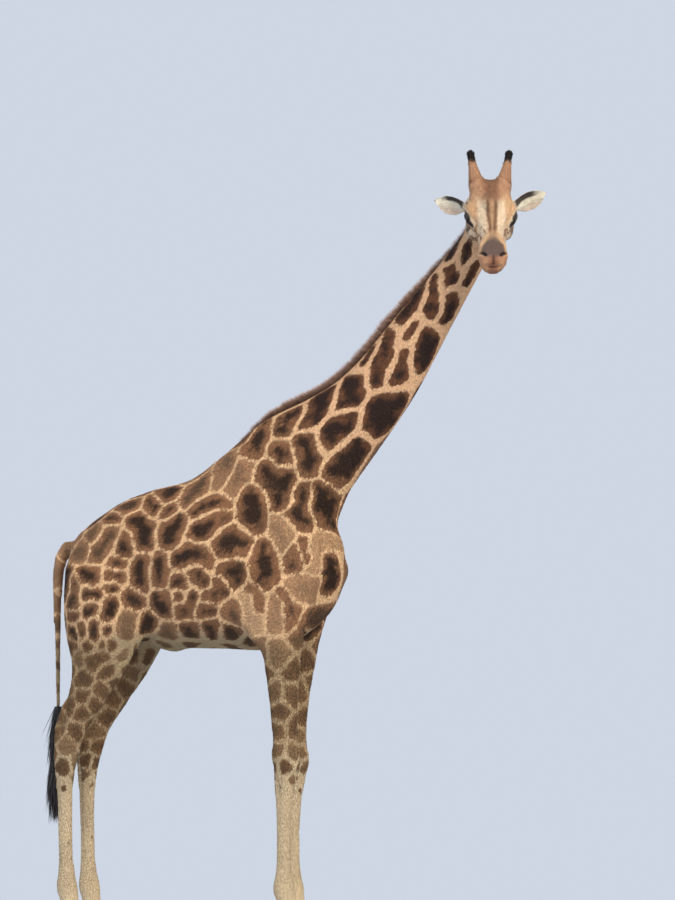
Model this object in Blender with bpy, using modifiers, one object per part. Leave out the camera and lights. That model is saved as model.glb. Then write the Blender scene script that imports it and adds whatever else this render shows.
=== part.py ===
"""A standing giraffe at life size, as the solids of a still museum model.

Metres, +Z up, +X from the tail to the chest, +Y to the giraffe's left. The floor is Z = 0 and the origin lies
on it, under the middle of the model's box. The head is turned to the giraffe's right.

The flesh is modelled whole, from lofts and muscles that are melted together, and then parted with thin cuts.
"""

import math
from collections import namedtuple

import bmesh
import bpy
import numpy as np
from mathutils import Matrix, Vector

# ---------------------------------------------------------------- driving dimensions
GAP = 0.0004  # between two pieces that meet
MELT_VOXEL = 0.021  # grid that melts the lofts of the body together
MELT_SMOOTHING = 5
MUSCLE_SMOOTHING = 16  # more of it above the knees and hocks, where muscles meet
MUSCLES_ABOVE = 1.35
BODY_TRIANGLES = 3150
HEAD_VOXEL = 0.009
HEAD_SMOOTHING = 4
HEAD_TRIANGLES = 830
RING_POINTS = 28
NEAR, FAR = -1, 1  # the giraffe's right side (-Y) and its left side (+Y)

SHARP_ANGLE = math.radians(50)

CORONET_HEIGHT = 0.105  # where hair ends and hoof begins
KNEE_HEIGHT = 1.02
HOCK_HEIGHT = 1.10

HEAD_PIVOT = Vector((1.770, -0.05, 4.220))  # the joint of skull and neck
HEAD_TURN = math.radians(-70)  # about Z, from +X
HEAD_NOD = math.radians(35)  # the face points this far below the horizon
EYE_RADIUS = 0.027
EYE_PLACE = Vector((0.205, 0.119, 0.052))  # in the head's frame, left side
EAR_LENGTH = 0.235
EAR_HALF_WIDTH = 0.048
EAR_THICKNESS = 0.010
MANE_HEIGHT = 0.052
MANE_HALF_WIDTH = 0.022
MANE_END = ((0.245, 0.0, 2.895), (0.330, 0.0, 2.972))  # where it runs out on the withers

COLOURS = {
    "coat": (0.52, 0.33, 0.18),
    "mane": (0.20, 0.09, 0.05),
    "horn": (0.42, 0.24, 0.12),
    "eye": (0.012, 0.008, 0.006),
    "hoof": (0.06, 0.05, 0.045),
    "tuft": (0.02, 0.015, 0.012),
}
ROUGHNESS = {"coat": 0.8, "mane": 0.85, "horn": 0.8, "eye": 0.08, "hoof": 0.55, "tuft": 0.7}

# A section of the trunk or head across its length: where it is, its top and bottom, the height where it is
# widest, its half width there, and how pinched it is above and below that (1 is an ellipse, more a ridge).
Slice = namedtuple("Slice", "at top bottom wide half_width pinch_top pinch_bottom")

TRUNK = {
    "tail root": Slice(-0.790, 2.270, 2.020, 2.150, 0.060, 1.0, 1.0),
    "pin bones": Slice(-0.740, 2.345, 1.860, 2.100, 0.170, 1.1, 1.0),
    "rump": Slice(-0.640, 2.425, 1.760, 2.100, 0.245, 1.2, 1.0),
    "hips": Slice(-0.470, 2.532, 1.700, 2.100, 0.285, 1.2, 0.9),
    "loin": Slice(-0.280, 2.600, 1.675, 2.080, 0.290, 1.15, 0.9),
    "belly": Slice(-0.050, 2.658, 1.665, 2.060, 0.315, 1.2, 0.9),
    "ribs": Slice(0.150, 2.812, 1.660, 2.060, 0.320, 1.5, 0.9),
    "girth": Slice(0.330, 2.945, 1.650, 2.080, 0.300, 1.7, 0.9),
    "withers": Slice(0.480, 2.930, 1.665, 2.100, 0.270, 1.6, 0.9),
    "shoulder": Slice(0.640, 2.700, 1.740, 2.120, 0.235, 1.3, 0.9),
    "breast": Slice(0.790, 2.450, 1.870, 2.140, 0.165, 1.0, 0.9),
    "keel": Slice(0.870, 2.280, 2.020, 2.150, 0.070, 1.0, 1.0),
}

# A section of the neck: its centre, half depth from nape to throat, half width, how steeply the neck climbs
# there and how far it is turned about Z, in degrees.
Cross = namedtuple("Cross", "x y z half_depth half_width climb turn")

NECK = {
    "inside the chest": Cross(0.400, 0.000, 2.450, 0.360, 0.200, 40, 0),
    "root": Cross(0.550, 0.000, 2.640, 0.385, 0.225, 42, 0),
    "collar": Cross(0.672, 0.000, 2.793, 0.327, 0.205, 44, 0),
    "lower": Cross(0.831, 0.000, 2.925, 0.275, 0.175, 48, 0),
    "lower middle": Cross(1.001, 0.000, 3.077, 0.227, 0.150, 52, 0),
    "middle": Cross(1.156, 0.004, 3.257, 0.202, 0.130, 54, 0),
    "upper middle": Cross(1.307, 0.010, 3.480, 0.176, 0.113, 57, 0),
    "upper": Cross(1.463, 0.018, 3.700, 0.146, 0.100, 59, -5),
    "throat": Cross(1.589, 0.028, 3.888, 0.128, 0.092, 62, -15),
    "gullet": Cross(1.680, 0.036, 4.024, 0.121, 0.090, 64, -32),
    "nape": Cross(1.726, 0.022, 4.129, 0.113, 0.089, 64, -50),
    "atlas": Cross(1.758, -0.016, 4.207, 0.091, 0.082, 58, -62),
}

# A section of a leg: its height, its centre, its half depth fore and aft, and its half width.
Joint = namedtuple("Joint", "z x y half_depth half_width")

FORELEG = {
    "upper arm": Joint(2.060, 0.600, 0.195, 0.190, 0.095),
    "armpit": Joint(1.880, 0.575, 0.208, 0.165, 0.094),
    "elbow": Joint(1.720, 0.566, 0.212, 0.138, 0.088),
    "forearm": Joint(1.520, 0.572, 0.210, 0.112, 0.076),
    "lower forearm": Joint(1.280, 0.578, 0.206, 0.086, 0.064),
    "above the knee": Joint(1.130, 0.582, 0.203, 0.078, 0.062),
    "knee": Joint(1.020, 0.590, 0.200, 0.084, 0.070),
    "below the knee": Joint(0.900, 0.583, 0.198, 0.070, 0.061),
    "upper cannon": Joint(0.780, 0.575, 0.197, 0.054, 0.048),
    "cannon": Joint(0.560, 0.572, 0.195, 0.047, 0.042),
    "lower cannon": Joint(0.380, 0.572, 0.194, 0.051, 0.048),
    "fetlock": Joint(0.275, 0.574, 0.193, 0.068, 0.064),
    "pastern": Joint(0.190, 0.590, 0.193, 0.060, 0.062),
    "coronet": Joint(0.120, 0.606, 0.193, 0.072, 0.074),
    "inside the hoof": Joint(0.070, 0.614, 0.193, 0.076, 0.076),
}
FAR_FORELEG_BACK = 0.075  # the left forefoot stands this far behind the right

HINDLEG = {
    "hip": Joint(2.150, -0.560, 0.180, 0.215, 0.120),
    "thigh": Joint(1.930, -0.530, 0.205, 0.235, 0.122),
    "stifle": Joint(1.760, -0.505, 0.215, 0.232, 0.110),
    "below the stifle": Joint(1.600, -0.535, 0.213, 0.190, 0.092),
    "gaskin": Joint(1.450, -0.590, 0.206, 0.150, 0.077),
    "lower gaskin": Joint(1.310, -0.655, 0.201, 0.110, 0.064),
    "above the hock": Joint(1.200, -0.712, 0.198, 0.090, 0.056),
    "hock": Joint(1.090, -0.752, 0.196, 0.090, 0.058),
    "below the hock": Joint(0.980, -0.766, 0.195, 0.072, 0.054),
    "upper cannon": Joint(0.860, -0.768, 0.194, 0.055, 0.046),
    "cannon": Joint(0.600, -0.764, 0.192, 0.047, 0.041),
    "lower cannon": Joint(0.390, -0.760, 0.191, 0.051, 0.047),
    "fetlock": Joint(0.280, -0.755, 0.190, 0.066, 0.062),
    "pastern": Joint(0.195, -0.740, 0.190, 0.058, 0.060),
    "coronet": Joint(0.120, -0.725, 0.190, 0.070, 0.072),
    "inside the hoof": Joint(0.070, -0.716, 0.190, 0.074, 0.074),
}

# A muscle that rounds out one side: an ellipsoid between two points, its half thickness and half breadth.
Muscle = namedtuple("Muscle", "start end thickness breadth")

MUSCLES = {
    "shoulder blade": Muscle((0.28, 0.120, 2.760), (0.74, 0.215, 2.100), 0.080, 0.180),
    "triceps": Muscle((0.32, 0.230, 2.300), (0.47, 0.245, 1.740), 0.075, 0.150),
    "breast": Muscle((0.60, 0.120, 2.220), (0.825, 0.065, 2.095), 0.120, 0.120),
    "croup": Muscle((-0.32, 0.130, 2.420), (-0.68, 0.140, 2.200), 0.110, 0.130),
    "haunch": Muscle((-0.46, 0.190, 2.300), (-0.42, 0.230, 1.720), 0.085, 0.200),
    "hamstring": Muscle((-0.70, 0.130, 2.240), (-0.64, 0.205, 1.540), 0.085, 0.120),
    "elbow point": Muscle((0.40, 0.225, 1.900), (0.46, 0.225, 1.660), 0.050, 0.060),
    "sheath": Muscle((-0.260, 0.010, 1.700), (-0.110, 0.010, 1.668), 0.045, 0.045),
    "heel tendon": Muscle((-0.760, 0.198, 1.400), (-0.828, 0.197, 1.080), 0.026, 0.030),
}

HEAD = {
    "nape": Slice(-0.095, 0.060, -0.050, 0.010, 0.050, 1.0, 1.0),
    "poll": Slice(-0.060, 0.125, -0.090, 0.030, 0.094, 0.8, 1.0),
    "ear root": Slice(-0.005, 0.158, -0.128, 0.045, 0.118, 0.65, 1.2),
    "jaw angle": Slice(0.065, 0.164, -0.168, 0.055, 0.126, 0.65, 1.4),
    "temple": Slice(0.135, 0.156, -0.172, 0.060, 0.128, 0.75, 1.5),
    "eyes": Slice(0.200, 0.144, -0.160, 0.056, 0.124, 0.85, 1.5),
    "face": Slice(0.270, 0.122, -0.142, 0.030, 0.100, 0.9, 1.3),
    "cheek": Slice(0.340, 0.098, -0.122, 0.005, 0.080, 0.9, 1.1),
    "nose": Slice(0.410, 0.080, -0.112, -0.010, 0.073, 0.9, 1.0),
    "nostrils": Slice(0.480, 0.068, -0.112, -0.020, 0.080, 0.85, 0.95),
    "lips": Slice(0.542, 0.044, -0.110, -0.030, 0.085, 0.85, 0.9),
    "lip tip": Slice(0.588, 0.006, -0.084, -0.038, 0.058, 0.9, 0.9),
}
# Lumps of the skull on each side: centre in the head's frame and half sizes along it.
HEAD_LUMPS = {
    "brow": ((0.182, 0.098, 0.080), (0.056, 0.046, 0.034)),
    "lower lid": ((0.205, 0.100, 0.036), (0.054, 0.034, 0.034)),
    "cheek muscle": ((0.105, 0.078, -0.078), (0.090, 0.050, 0.085)),
    "horn root": ((0.006, 0.076, 0.124), (0.062, 0.046, 0.050)),
    "nostril wing": ((0.490, 0.050, 0.030), (0.046, 0.030, 0.026)),
    "ear butt": ((0.010, 0.108, 0.010), (0.040, 0.036, 0.040)),
}
MIDDLE_LUMPS = {
    "middle horn": ((0.170, 0.0, 0.132), (0.110, 0.060, 0.040)),
    "chin": ((0.520, 0.0, -0.098), (0.052, 0.056, 0.034)),
    "upper lip": ((0.560, 0.0, -0.018), (0.040, 0.062, 0.046)),
}

# The left horn's line in the head's frame, and its radius there.
HORN_LINE = (
    (0.005, 0.078, 0.138),
    (-0.022, 0.085, 0.168),
    (-0.049, 0.093, 0.197),
    (-0.076, 0.100, 0.227),
    (-0.122, 0.110, 0.279),
)
HORN_RADII = (0.050, 0.042, 0.0335, 0.0265, 0.0235)
KNOB_CENTRE = Vector((-0.122, 0.110, 0.279))
KNOB_RADIUS = 0.0265
# Where an ear starts and points, and where its hollow faces, in the head's frame.
EAR_ROOT = Vector((0.026, 0.120, -0.008))
EAR_REACH = {FAR: Vector((-0.369, 0.90, 0.230)), NEAR: Vector((-0.543, -0.83, -0.124))}
EAR_FACING = Vector((0.905, 0.10, 0.451))
EAR_ARC_POINTS = 7
EAR_SECTIONS = (
    # share of the length, share of the half width, cup depth for that width, how full the cup is
    (0.00, 0.50, 1.00, 1.00),
    (0.10, 0.56, 1.00, 0.90),
    (0.22, 0.72, 0.95, 0.45),
    (0.36, 0.90, 0.85, 0.12),
    (0.52, 1.00, 0.70, 0.00),
    (0.68, 0.92, 0.55, 0.00),
    (0.83, 0.64, 0.45, 0.00),
    (0.94, 0.30, 0.40, 0.00),
    (1.00, 0.08, 0.40, 0.00),
)

# A foot's two hooves: height, front, back, centre from the foot's middle, half width.
HOOF_SECTIONS = (
    (CORONET_HEIGHT - GAP, 0.078, -0.072, 0.0370, 0.0355),
    (0.070, 0.098, -0.080, 0.0400, 0.0385),
    (0.030, 0.124, -0.088, 0.0440, 0.0420),
    (0.000, 0.136, -0.090, 0.0455, 0.0425),
)

# The domed cut round the top of a leg: its middle fore and aft, its top, and its half depth.
LEG_CUT_MIDDLE = 0.36
LEG_CUT_HALF_WIDTH = 0.33
FORELEG_CUT = (0.575, 1.98, 0.27)
HINDLEG_CUT = (-0.560, 2.16, 0.34)

TAIL_LINE = (
    (-0.740, 0.0, 2.260),
    (-0.830, 0.0, 2.245),
    (-0.875, 0.0, 2.130),
    (-0.882, 0.0, 1.900),
    (-0.880, 0.0, 1.550),
    (-0.876, 0.0, 1.300),
)
TAIL_RADII = (0.050, 0.045, 0.036, 0.028, 0.021, 0.016)
TUFT_LINE = (
    (-0.8765, 0.0, 1.330),
    (-0.8750, 0.0, 1.180),
    (-0.8800, 0.0, 0.980),
    (-0.8860, 0.0, 0.800),
    (-0.8900, 0.0, 0.700),
)
TUFT_RADII = (0.024, 0.042, 0.050, 0.034, 0.008)


# ---------------------------------------------------------------- tools
def clear_scene():
    for obj in list(bpy.data.objects):
        bpy.data.objects.remove(obj)


def material(kind):
    """The Principled material of one kind of surface."""
    made = bpy.data.materials.get(kind) or bpy.data.materials.new(kind)
    made.use_nodes = True
    shader = made.node_tree.nodes["Principled BSDF"]
    shader.inputs["Base Color"].default_value = (*COLOURS[kind], 1.0)
    shader.inputs["Roughness"].default_value = ROUGHNESS[kind]
    shader.inputs["Metallic"].default_value = 0.0
    return made


def add_object(name, mesh):
    """Puts a mesh in the workshop, where forms and cutters are until they are used up."""
    obj = bpy.data.objects.new(name, mesh)
    obj.display_type = "WIRE"
    obj.hide_render = True
    bpy.data.collections["workshop"].objects.link(obj)
    return obj


def finish(obj, name, kind):
    """Names a finished piece, gives it its material and moves it to the giraffe."""
    obj.name = name
    obj.data.name = name
    obj.data.materials.clear()
    obj.data.materials.append(material(kind))
    obj.data.shade_smooth()
    obj.data.set_sharp_from_angle(angle=SHARP_ANGLE)
    obj.display_type = "TEXTURED"
    obj.hide_render = False
    bpy.data.collections["workshop"].objects.unlink(obj)
    bpy.data.collections["giraffe"].objects.link(obj)
    return obj


def through(values, count):
    """Rows of numbers, as a smooth curve of count rows through the given ones."""
    rows = np.array(values, float)
    padded = np.vstack([2 * rows[0] - rows[1], rows, 2 * rows[-1] - rows[-2]])
    steps = np.concatenate([[0], np.cumsum(np.linalg.norm(np.diff(rows[:, :3], axis=0), axis=1))])
    curve = []
    for place in np.linspace(0, steps[-1], count):
        i = min(int(np.searchsorted(steps, place, "right")) - 1, len(rows) - 2)
        t = (place - steps[i]) / (steps[i + 1] - steps[i])
        a, b, c, d = padded[i : i + 4]
        curve.append(b + 0.5 * t * (c - a + t * (2 * a - 5 * b + 4 * c - d + t * (3 * (b - c) + d - a))))
    return np.array(curve)


def loft(name, rings):
    """A closed mesh through rings of points, with its ends capped."""
    form = bmesh.new()
    loops = [[form.verts.new(point) for point in ring] for ring in rings]
    for low, high in zip(loops, loops[1:]):
        for i in range(len(low)):
            j = (i + 1) % len(low)
            form.faces.new((low[i], low[j], high[j], high[i]))
    form.faces.new(reversed(loops[0]))
    form.faces.new(loops[-1])
    bmesh.ops.recalc_face_normals(form, faces=form.faces)
    mesh = bpy.data.meshes.new(name)
    form.to_mesh(mesh)
    form.free()
    return add_object(name, mesh)


def ring(centre, up, down, side, pinch_top=1.0, pinch_bottom=1.0, points=RING_POINTS):
    """A closed section about centre: up and down are its half heights, side its half width, all vectors."""
    loop = []
    for k in range(points):
        c, s = math.cos(math.tau * k / points), math.sin(math.tau * k / points)
        pinch = pinch_top if s > 0 else pinch_bottom
        reach = math.copysign(abs(c) ** pinch, c)
        loop.append(centre + side * reach + (up if s > 0 else down) * abs(s))
    return loop


def slices_loft(name, slices, count, frame=Matrix.Identity(4)):
    """The trunk or the head: upright slices along X, in the given frame."""
    rings = []
    for at, top, bottom, wide, half_width, pinch_top, pinch_bottom in through(list(slices.values()), count):
        flat = ring(
            Vector((at, 0, wide)),
            Vector((0, 0, top - wide)),
            Vector((0, 0, bottom - wide)),
            Vector((0, half_width, 0)),
            pinch_top,
            pinch_bottom,
        )
        rings.append([frame @ point for point in flat])
    return loft(name, rings)


def neck_frames(count):
    """(centre, unit vector to the nape, unit vector to the left, half depth, half width) along the neck."""
    frames = []
    for x, y, z, half_depth, half_width, climb, turn in through(list(NECK.values()), count):
        climb, turn = math.radians(climb), Matrix.Rotation(math.radians(turn), 3, "Z")
        to_nape = turn @ Vector((-math.sin(climb), 0, math.cos(climb)))
        to_left = turn @ Vector((0, 1, 0))
        frames.append((Vector((x, y, z)), to_nape, to_left, half_depth, half_width))
    return frames


def neck_loft():
    """The neck, a little flat on its sides and narrow along the nape."""
    rings = [
        ring(centre, nape * depth, -nape * depth, left * width, 1.35, 1.0)
        for centre, nape, left, depth, width in neck_frames(26)
    ]
    return loft("neck_form", rings)


def leg_line(joints, side, back):
    """A leg's stations on one side. Its foot stands the given distance back, and its top stays in place."""
    top = max(joint.z for joint in joints.values())
    rows = []
    for z, x, y, half_depth, half_width in joints.values():
        shift = back * min(1.0, (top - z) / (0.35 * top))
        rows.append((z, x - shift, side * y, half_depth, half_width))
    return rows


def leg_loft(name, joints, side, back=0.0):
    """A leg from its root in the body to inside the hoof, as level sections."""
    rings = []
    for z, x, y, half_depth, half_width in through(leg_line(joints, side, back), 34):
        forward = Vector((half_depth, 0, 0))
        rings.append(ring(Vector((x, y, z)), forward, -forward, Vector((0, half_width, 0)), 1.0, 1.1, 20))
    return loft(name, rings)


def tube(name, line, radii, points=14, bevel_resolution=2):
    """A round bar along a smooth line, with a radius at each of the line's points."""
    curve = bpy.data.curves.new(name, "CURVE")
    curve.dimensions = "3D"
    curve.bevel_depth = 1.0
    curve.bevel_resolution = bevel_resolution
    curve.use_fill_caps = True
    spline = curve.splines.new("POLY")
    spline.points.add(points - 1)
    rows = through([(*point, radius) for point, radius in zip(line, radii)], points)
    for point, (x, y, z, radius) in zip(spline.points, rows):
        point.co = (x, y, z, 1.0)
        point.radius = radius
    bar = evaluated(add_object(name, curve))
    form = bmesh.new()
    form.from_mesh(bar.data)
    bmesh.ops.remove_doubles(form, verts=form.verts, dist=0.00001)
    bmesh.ops.recalc_face_normals(form, faces=form.faces)
    form.to_mesh(bar.data)
    form.free()
    return bar


def ellipsoid(name, frame, half_sizes, segments=24):
    """A stretched sphere in the given frame."""
    form = bmesh.new()
    bmesh.ops.create_uvsphere(form, u_segments=segments, v_segments=segments // 2, radius=1.0)
    form.transform(frame @ Matrix.Diagonal((*half_sizes, 1.0)))
    mesh = bpy.data.meshes.new(name)
    form.to_mesh(mesh)
    form.free()
    return add_object(name, mesh)


def muscle(name, shape, side):
    """An ellipsoid from one point to another, broad in the side view and thin across."""
    start, end = (Vector((p[0], side * p[1], p[2])) for p in (shape.start, shape.end))
    along = (end - start).normalized()
    outward = (Vector((0, side, 0)) - along * along.y * side).normalized()
    broad = along.cross(outward)
    turn = Matrix((along, outward, broad)).transposed().to_4x4()
    half_length = (end - start).length / 2 + shape.breadth / 2
    frame = Matrix.Translation((start + end) / 2) @ turn
    return ellipsoid(name, frame, (half_length, shape.thickness, shape.breadth))


def joined(name, objects):
    """Several meshes as one object, still overlapping."""
    form = bmesh.new()
    for obj in objects:
        form.from_mesh(obj.data)
        bpy.data.objects.remove(obj)
    mesh = bpy.data.meshes.new(name)
    form.to_mesh(mesh)
    form.free()
    return add_object(name, mesh)


def evaluated(obj):
    """The object as a plain mesh with its modifiers applied."""
    bpy.context.view_layer.update()
    graph = bpy.context.evaluated_depsgraph_get()
    mesh = bpy.data.meshes.new_from_object(obj.evaluated_get(graph))
    if obj.type != "MESH":
        name = obj.name
        bpy.data.objects.remove(obj)
        return add_object(name, mesh)
    obj.modifiers.clear()
    obj.data = mesh
    return obj


def melted(obj, voxel, smoothing, triangles, softer_above=None):
    """Overlapping forms as one smooth closed mesh of about so many triangles."""
    remesh = obj.modifiers.new("melt", "REMESH")
    remesh.mode = "VOXEL"
    remesh.voxel_size = voxel
    evaluated(obj)
    if softer_above is not None:
        group = obj.vertex_groups.new(name="softer")
        group.add([v.index for v in obj.data.vertices if v.co.z > softer_above], 1.0, "REPLACE")
        softer = obj.modifiers.new("softer", "SMOOTH")
        softer.factor = 0.5
        softer.iterations = MUSCLE_SMOOTHING
        softer.vertex_group = "softer"
    smooth = obj.modifiers.new("smooth", "SMOOTH")
    smooth.factor = 0.5
    smooth.iterations = smoothing
    evaluated(obj)
    obj.vertex_groups.clear()
    fewer = obj.modifiers.new("fewer", "DECIMATE")
    fewer.ratio = triangles / (2 * len(obj.data.polygons))
    fewer.use_collapse_triangulate = True
    return evaluated(obj)


def copied(obj, name):
    return add_object(name, obj.data.copy())


def boolean(obj, operation, other):
    """Cuts obj with other, or keeps what they share. The other is used up."""
    change = obj.modifiers.new(operation, "BOOLEAN")
    change.operation = operation
    change.object = other
    evaluated(obj)
    bpy.data.objects.remove(other)
    return obj


def grown(obj, name, by=GAP):
    """A copy with its surface moved outwards."""
    copy = copied(obj, name)
    form = bmesh.new()
    form.from_mesh(copy.data)
    form.normal_update()
    for vert in form.verts:
        vert.co += vert.normal * by * vert.calc_shell_factor()
    form.to_mesh(copy.data)
    form.free()
    return copy


def largest_body(obj):
    """Keeps the largest of the object's separate bodies, and drops crumbs that a cut has left."""
    form = bmesh.new()
    form.from_mesh(obj.data)
    left, bodies = set(form.verts), []
    while left:
        todo, body = [left.pop()], []
        while todo:
            vert = todo.pop()
            body.append(vert)
            for edge in vert.link_edges:
                other = edge.other_vert(vert)
                if other in left:
                    left.discard(other)
                    todo.append(other)
        bodies.append(body)
    bodies.sort(key=len)
    for body in bodies[:-1]:
        bmesh.ops.delete(form, geom=body, context="VERTS")
    form.to_mesh(obj.data)
    form.free()
    return obj


def parted(obj, name, region):
    """Splits obj with a region maker: (what lies inside it, what lies outside past a thin gap)."""
    inside = boolean(copied(obj, name), "INTERSECT", region(0.0))
    outside = boolean(obj, "DIFFERENCE", region(GAP))
    return largest_body(inside), largest_body(outside)


def half_space(point, towards, radius=0.9, length=2.6):
    """A region maker for all that lies past a plane, out to a radius: a wide round bar."""
    towards = Vector(towards).normalized()

    def make(grow):
        form = bmesh.new()
        turn = towards.to_track_quat("Z", "Y").to_matrix().to_4x4()
        centre = Vector(point) + towards * (length / 2 - grow)
        bmesh.ops.create_cone(
            form,
            cap_ends=True,
            segments=32,
            radius1=radius,
            radius2=radius,
            depth=length,
            matrix=Matrix.Translation(centre) @ turn,
        )
        mesh = bpy.data.meshes.new("region")
        form.to_mesh(mesh)
        form.free()
        return add_object("region", mesh)

    return make


def leg_well(side, x, top, radius_x):
    """A region maker round a leg: a round well with a domed top, like a ball joint's."""

    def make(grow):
        form = bmesh.new()
        bmesh.ops.create_uvsphere(form, u_segments=16, v_segments=8, radius=1.0)
        form.transform(Matrix.Diagonal((radius_x + grow, LEG_CUT_HALF_WIDTH + grow, radius_x + grow, 1.0)))
        for vert in form.verts:
            if vert.co.z < -0.01:
                vert.co.z -= top
        form.transform(Matrix.Translation((x, side * LEG_CUT_MIDDLE, top - radius_x)))
        mesh = bpy.data.meshes.new("region")
        form.to_mesh(mesh)
        form.free()
        return add_object("region", mesh)

    return make


# ---------------------------------------------------------------- the body
def melted_body():
    """Trunk, neck and legs as one mesh."""
    forms = [slices_loft("trunk_form", TRUNK, 30), neck_loft()]
    for side in (NEAR, FAR):
        back = FAR_FORELEG_BACK if side == FAR else 0.0
        forms.append(leg_loft("foreleg_form", FORELEG, side, back))
        forms.append(leg_loft("hindleg_form", HINDLEG, side))
        forms += [muscle(name, shape, side) for name, shape in MUSCLES.items()]
    return melted(joined("body", forms), MELT_VOXEL, MELT_SMOOTHING, BODY_TRIANGLES, MUSCLES_ABOVE)


def head_frame():
    """From the head's frame (X to the muzzle, Z up from the forehead) to the world."""
    nod = Matrix.Rotation(HEAD_NOD, 4, "Y")
    return Matrix.Translation(HEAD_PIVOT) @ Matrix.Rotation(HEAD_TURN, 4, "Z") @ nod


def melted_head(frame):
    """The skull with its skin, without ears, horns and eyes."""
    forms = [slices_loft("head_form", HEAD, 26, frame)]
    for name, (centre, half_sizes) in MIDDLE_LUMPS.items():
        forms.append(ellipsoid(name, frame @ Matrix.Translation(centre), half_sizes))
    for side in (NEAR, FAR):
        for name, (centre, half_sizes) in HEAD_LUMPS.items():
            place = Matrix.Translation((centre[0], side * centre[1], centre[2]))
            forms.append(ellipsoid(name, frame @ place, half_sizes))
    return melted(joined("head", forms), HEAD_VOXEL, HEAD_SMOOTHING, HEAD_TRIANGLES)


def side_name(side):
    return "left" if side == FAR else "right"


def part_neck(body):
    """Cuts off the neck, in three lengths. Returns (lengths, the rest of the body)."""
    cuts = []
    for station in ("collar", "middle", "upper"):
        cross = NECK[station]
        climb = math.radians(cross.climb)
        cuts.append(half_space((cross.x, cross.y, cross.z), (math.cos(climb), 0, math.sin(climb)), 0.62))
    neck, body = parted(body, "neck", cuts[0])
    above, lower = parted(neck, "above", cuts[1])
    upper, middle = parted(above, "upper", cuts[2])
    return (lower, middle, upper), body


def part_leg(body, name, well, joint_height):
    """Cuts a leg off the body and at its knee or hock, and trims it where the hooves begin."""
    leg, body = parted(body, name, well)
    x, y = np.mean([vert.co[:2] for vert in leg.data.vertices if vert.co.z < joint_height], axis=0)
    lower, upper = parted(leg, name + "_lower", half_space((x, y, joint_height), (0, 0, -1), 0.22, 1.5))
    boolean(lower, "DIFFERENCE", half_space((x, y, CORONET_HEIGHT), (0, 0, -1), 0.22, 0.4)(0.0))
    finish(upper, name + "_upper", "coat")
    finish(largest_body(lower), name + "_lower", "coat")
    return body


def hooves(name, x, y):
    """The two hooves of one foot, flat underneath, with a narrow cleft between them."""
    for toe, toe_name in ((NEAR, "right"), (FAR, "left")):
        rings = []
        for z, front, back, offset, half_width in HOOF_SECTIONS:
            middle = (front + back) / 2
            long = Vector((front - middle, 0, 0))
            centre = Vector((x + middle, y + toe * offset, z))
            rings.append(ring(centre, long, -long, Vector((0, half_width, 0)), 0.95, 0.7, 10))
        finish(loft("hoof", rings), f"hoof_{name}_{toe_name}", "hoof")


def mane(body_copy, head):
    """The stiff crest along the nape, from between the ears to the withers."""
    frames = neck_frames(26)
    ridge = [(centre + nape * depth, nape, left) for centre, nape, left, depth, _ in frames[4:25]]
    nape, left = ridge[0][1:]
    ridge = [(Vector(point), nape, left) for point in MANE_END] + ridge[::2]
    rings = []
    for i, (point, nape, left) in enumerate(ridge):
        share = i / (len(ridge) - 1)
        rise = MANE_HEIGHT * min(1.0, 0.25 + 3.0 * share) * min(1.0, 0.35 + 6.0 * (1 - share))
        half = nape * (rise + 0.03) / 2
        rings.append(ring(point + nape * rise - half, half, -half, left * MANE_HALF_WIDTH, 1.3, 0.6, 8))
    crest = loft("mane", rings)
    boolean(crest, "DIFFERENCE", grown(body_copy, "cutter"))
    boolean(crest, "DIFFERENCE", grown(head, "cutter"))
    return finish(largest_body(crest), "mane", "mane")


def ear(frame, side, head, body_copy):
    """A leaf-shaped ear: a round root that opens into a cupped shell, trimmed where it meets the head."""
    turn = frame.to_3x3()
    out = (turn @ EAR_REACH[side]).normalized()
    facing = turn @ Vector((EAR_FACING.x, side * EAR_FACING.y, EAR_FACING.z))
    across = out.cross(facing).normalized() * side
    facing = across.cross(out) * side
    root = frame @ Vector((EAR_ROOT.x, side * EAR_ROOT.y, EAR_ROOT.z))
    rings = []
    for share, width, cup, fill in EAR_SECTIONS:
        half_width = EAR_HALF_WIDTH * width
        depth = half_width * cup
        wall = EAR_THICKNESS * (1.0 - 0.5 * share)
        middle = root + out * EAR_LENGTH * share
        back, front = [], []
        for k in range(EAR_ARC_POINTS):
            t = math.pi * k / (EAR_ARC_POINTS - 1)
            rim, sag = -math.cos(t), math.sin(t)
            back.append(middle + across * half_width * rim - facing * depth * sag)
            hollow = (1 - fill) * max(depth - wall, 0.0) * sag - fill * depth * sag * 0.8
            inset = half_width - wall * 0.6 if half_width > wall else half_width * 0.6
            front.append(middle + across * inset * rim - facing * hollow + facing * wall * 0.15)
        rings.append(back + front[::-1])
    shell = loft("ear", rings)
    boolean(shell, "DIFFERENCE", grown(head, "cutter"))
    boolean(shell, "DIFFERENCE", grown(body_copy, "cutter"))
    return finish(largest_body(shell), f"ear_{side_name(side)}", "coat")


def horn(frame, side, head):
    """An ossicone: a skin-covered horn with a knob, trimmed where it meets the skull."""
    line = [frame @ Vector((x, side * y, z)) for x, y, z in HORN_LINE]
    stem = tube("horn", line, HORN_RADII, 6, 3)
    knob = ellipsoid(
        "knob",
        frame @ Matrix.Translation((KNOB_CENTRE.x, side * KNOB_CENTRE.y, KNOB_CENTRE.z)),
        (KNOB_RADIUS,) * 3,
        10,
    )
    boolean(stem, "UNION", knob)
    boolean(stem, "DIFFERENCE", grown(head, "cutter"))
    return finish(largest_body(stem), f"ossicone_{side_name(side)}", "horn")


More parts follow.
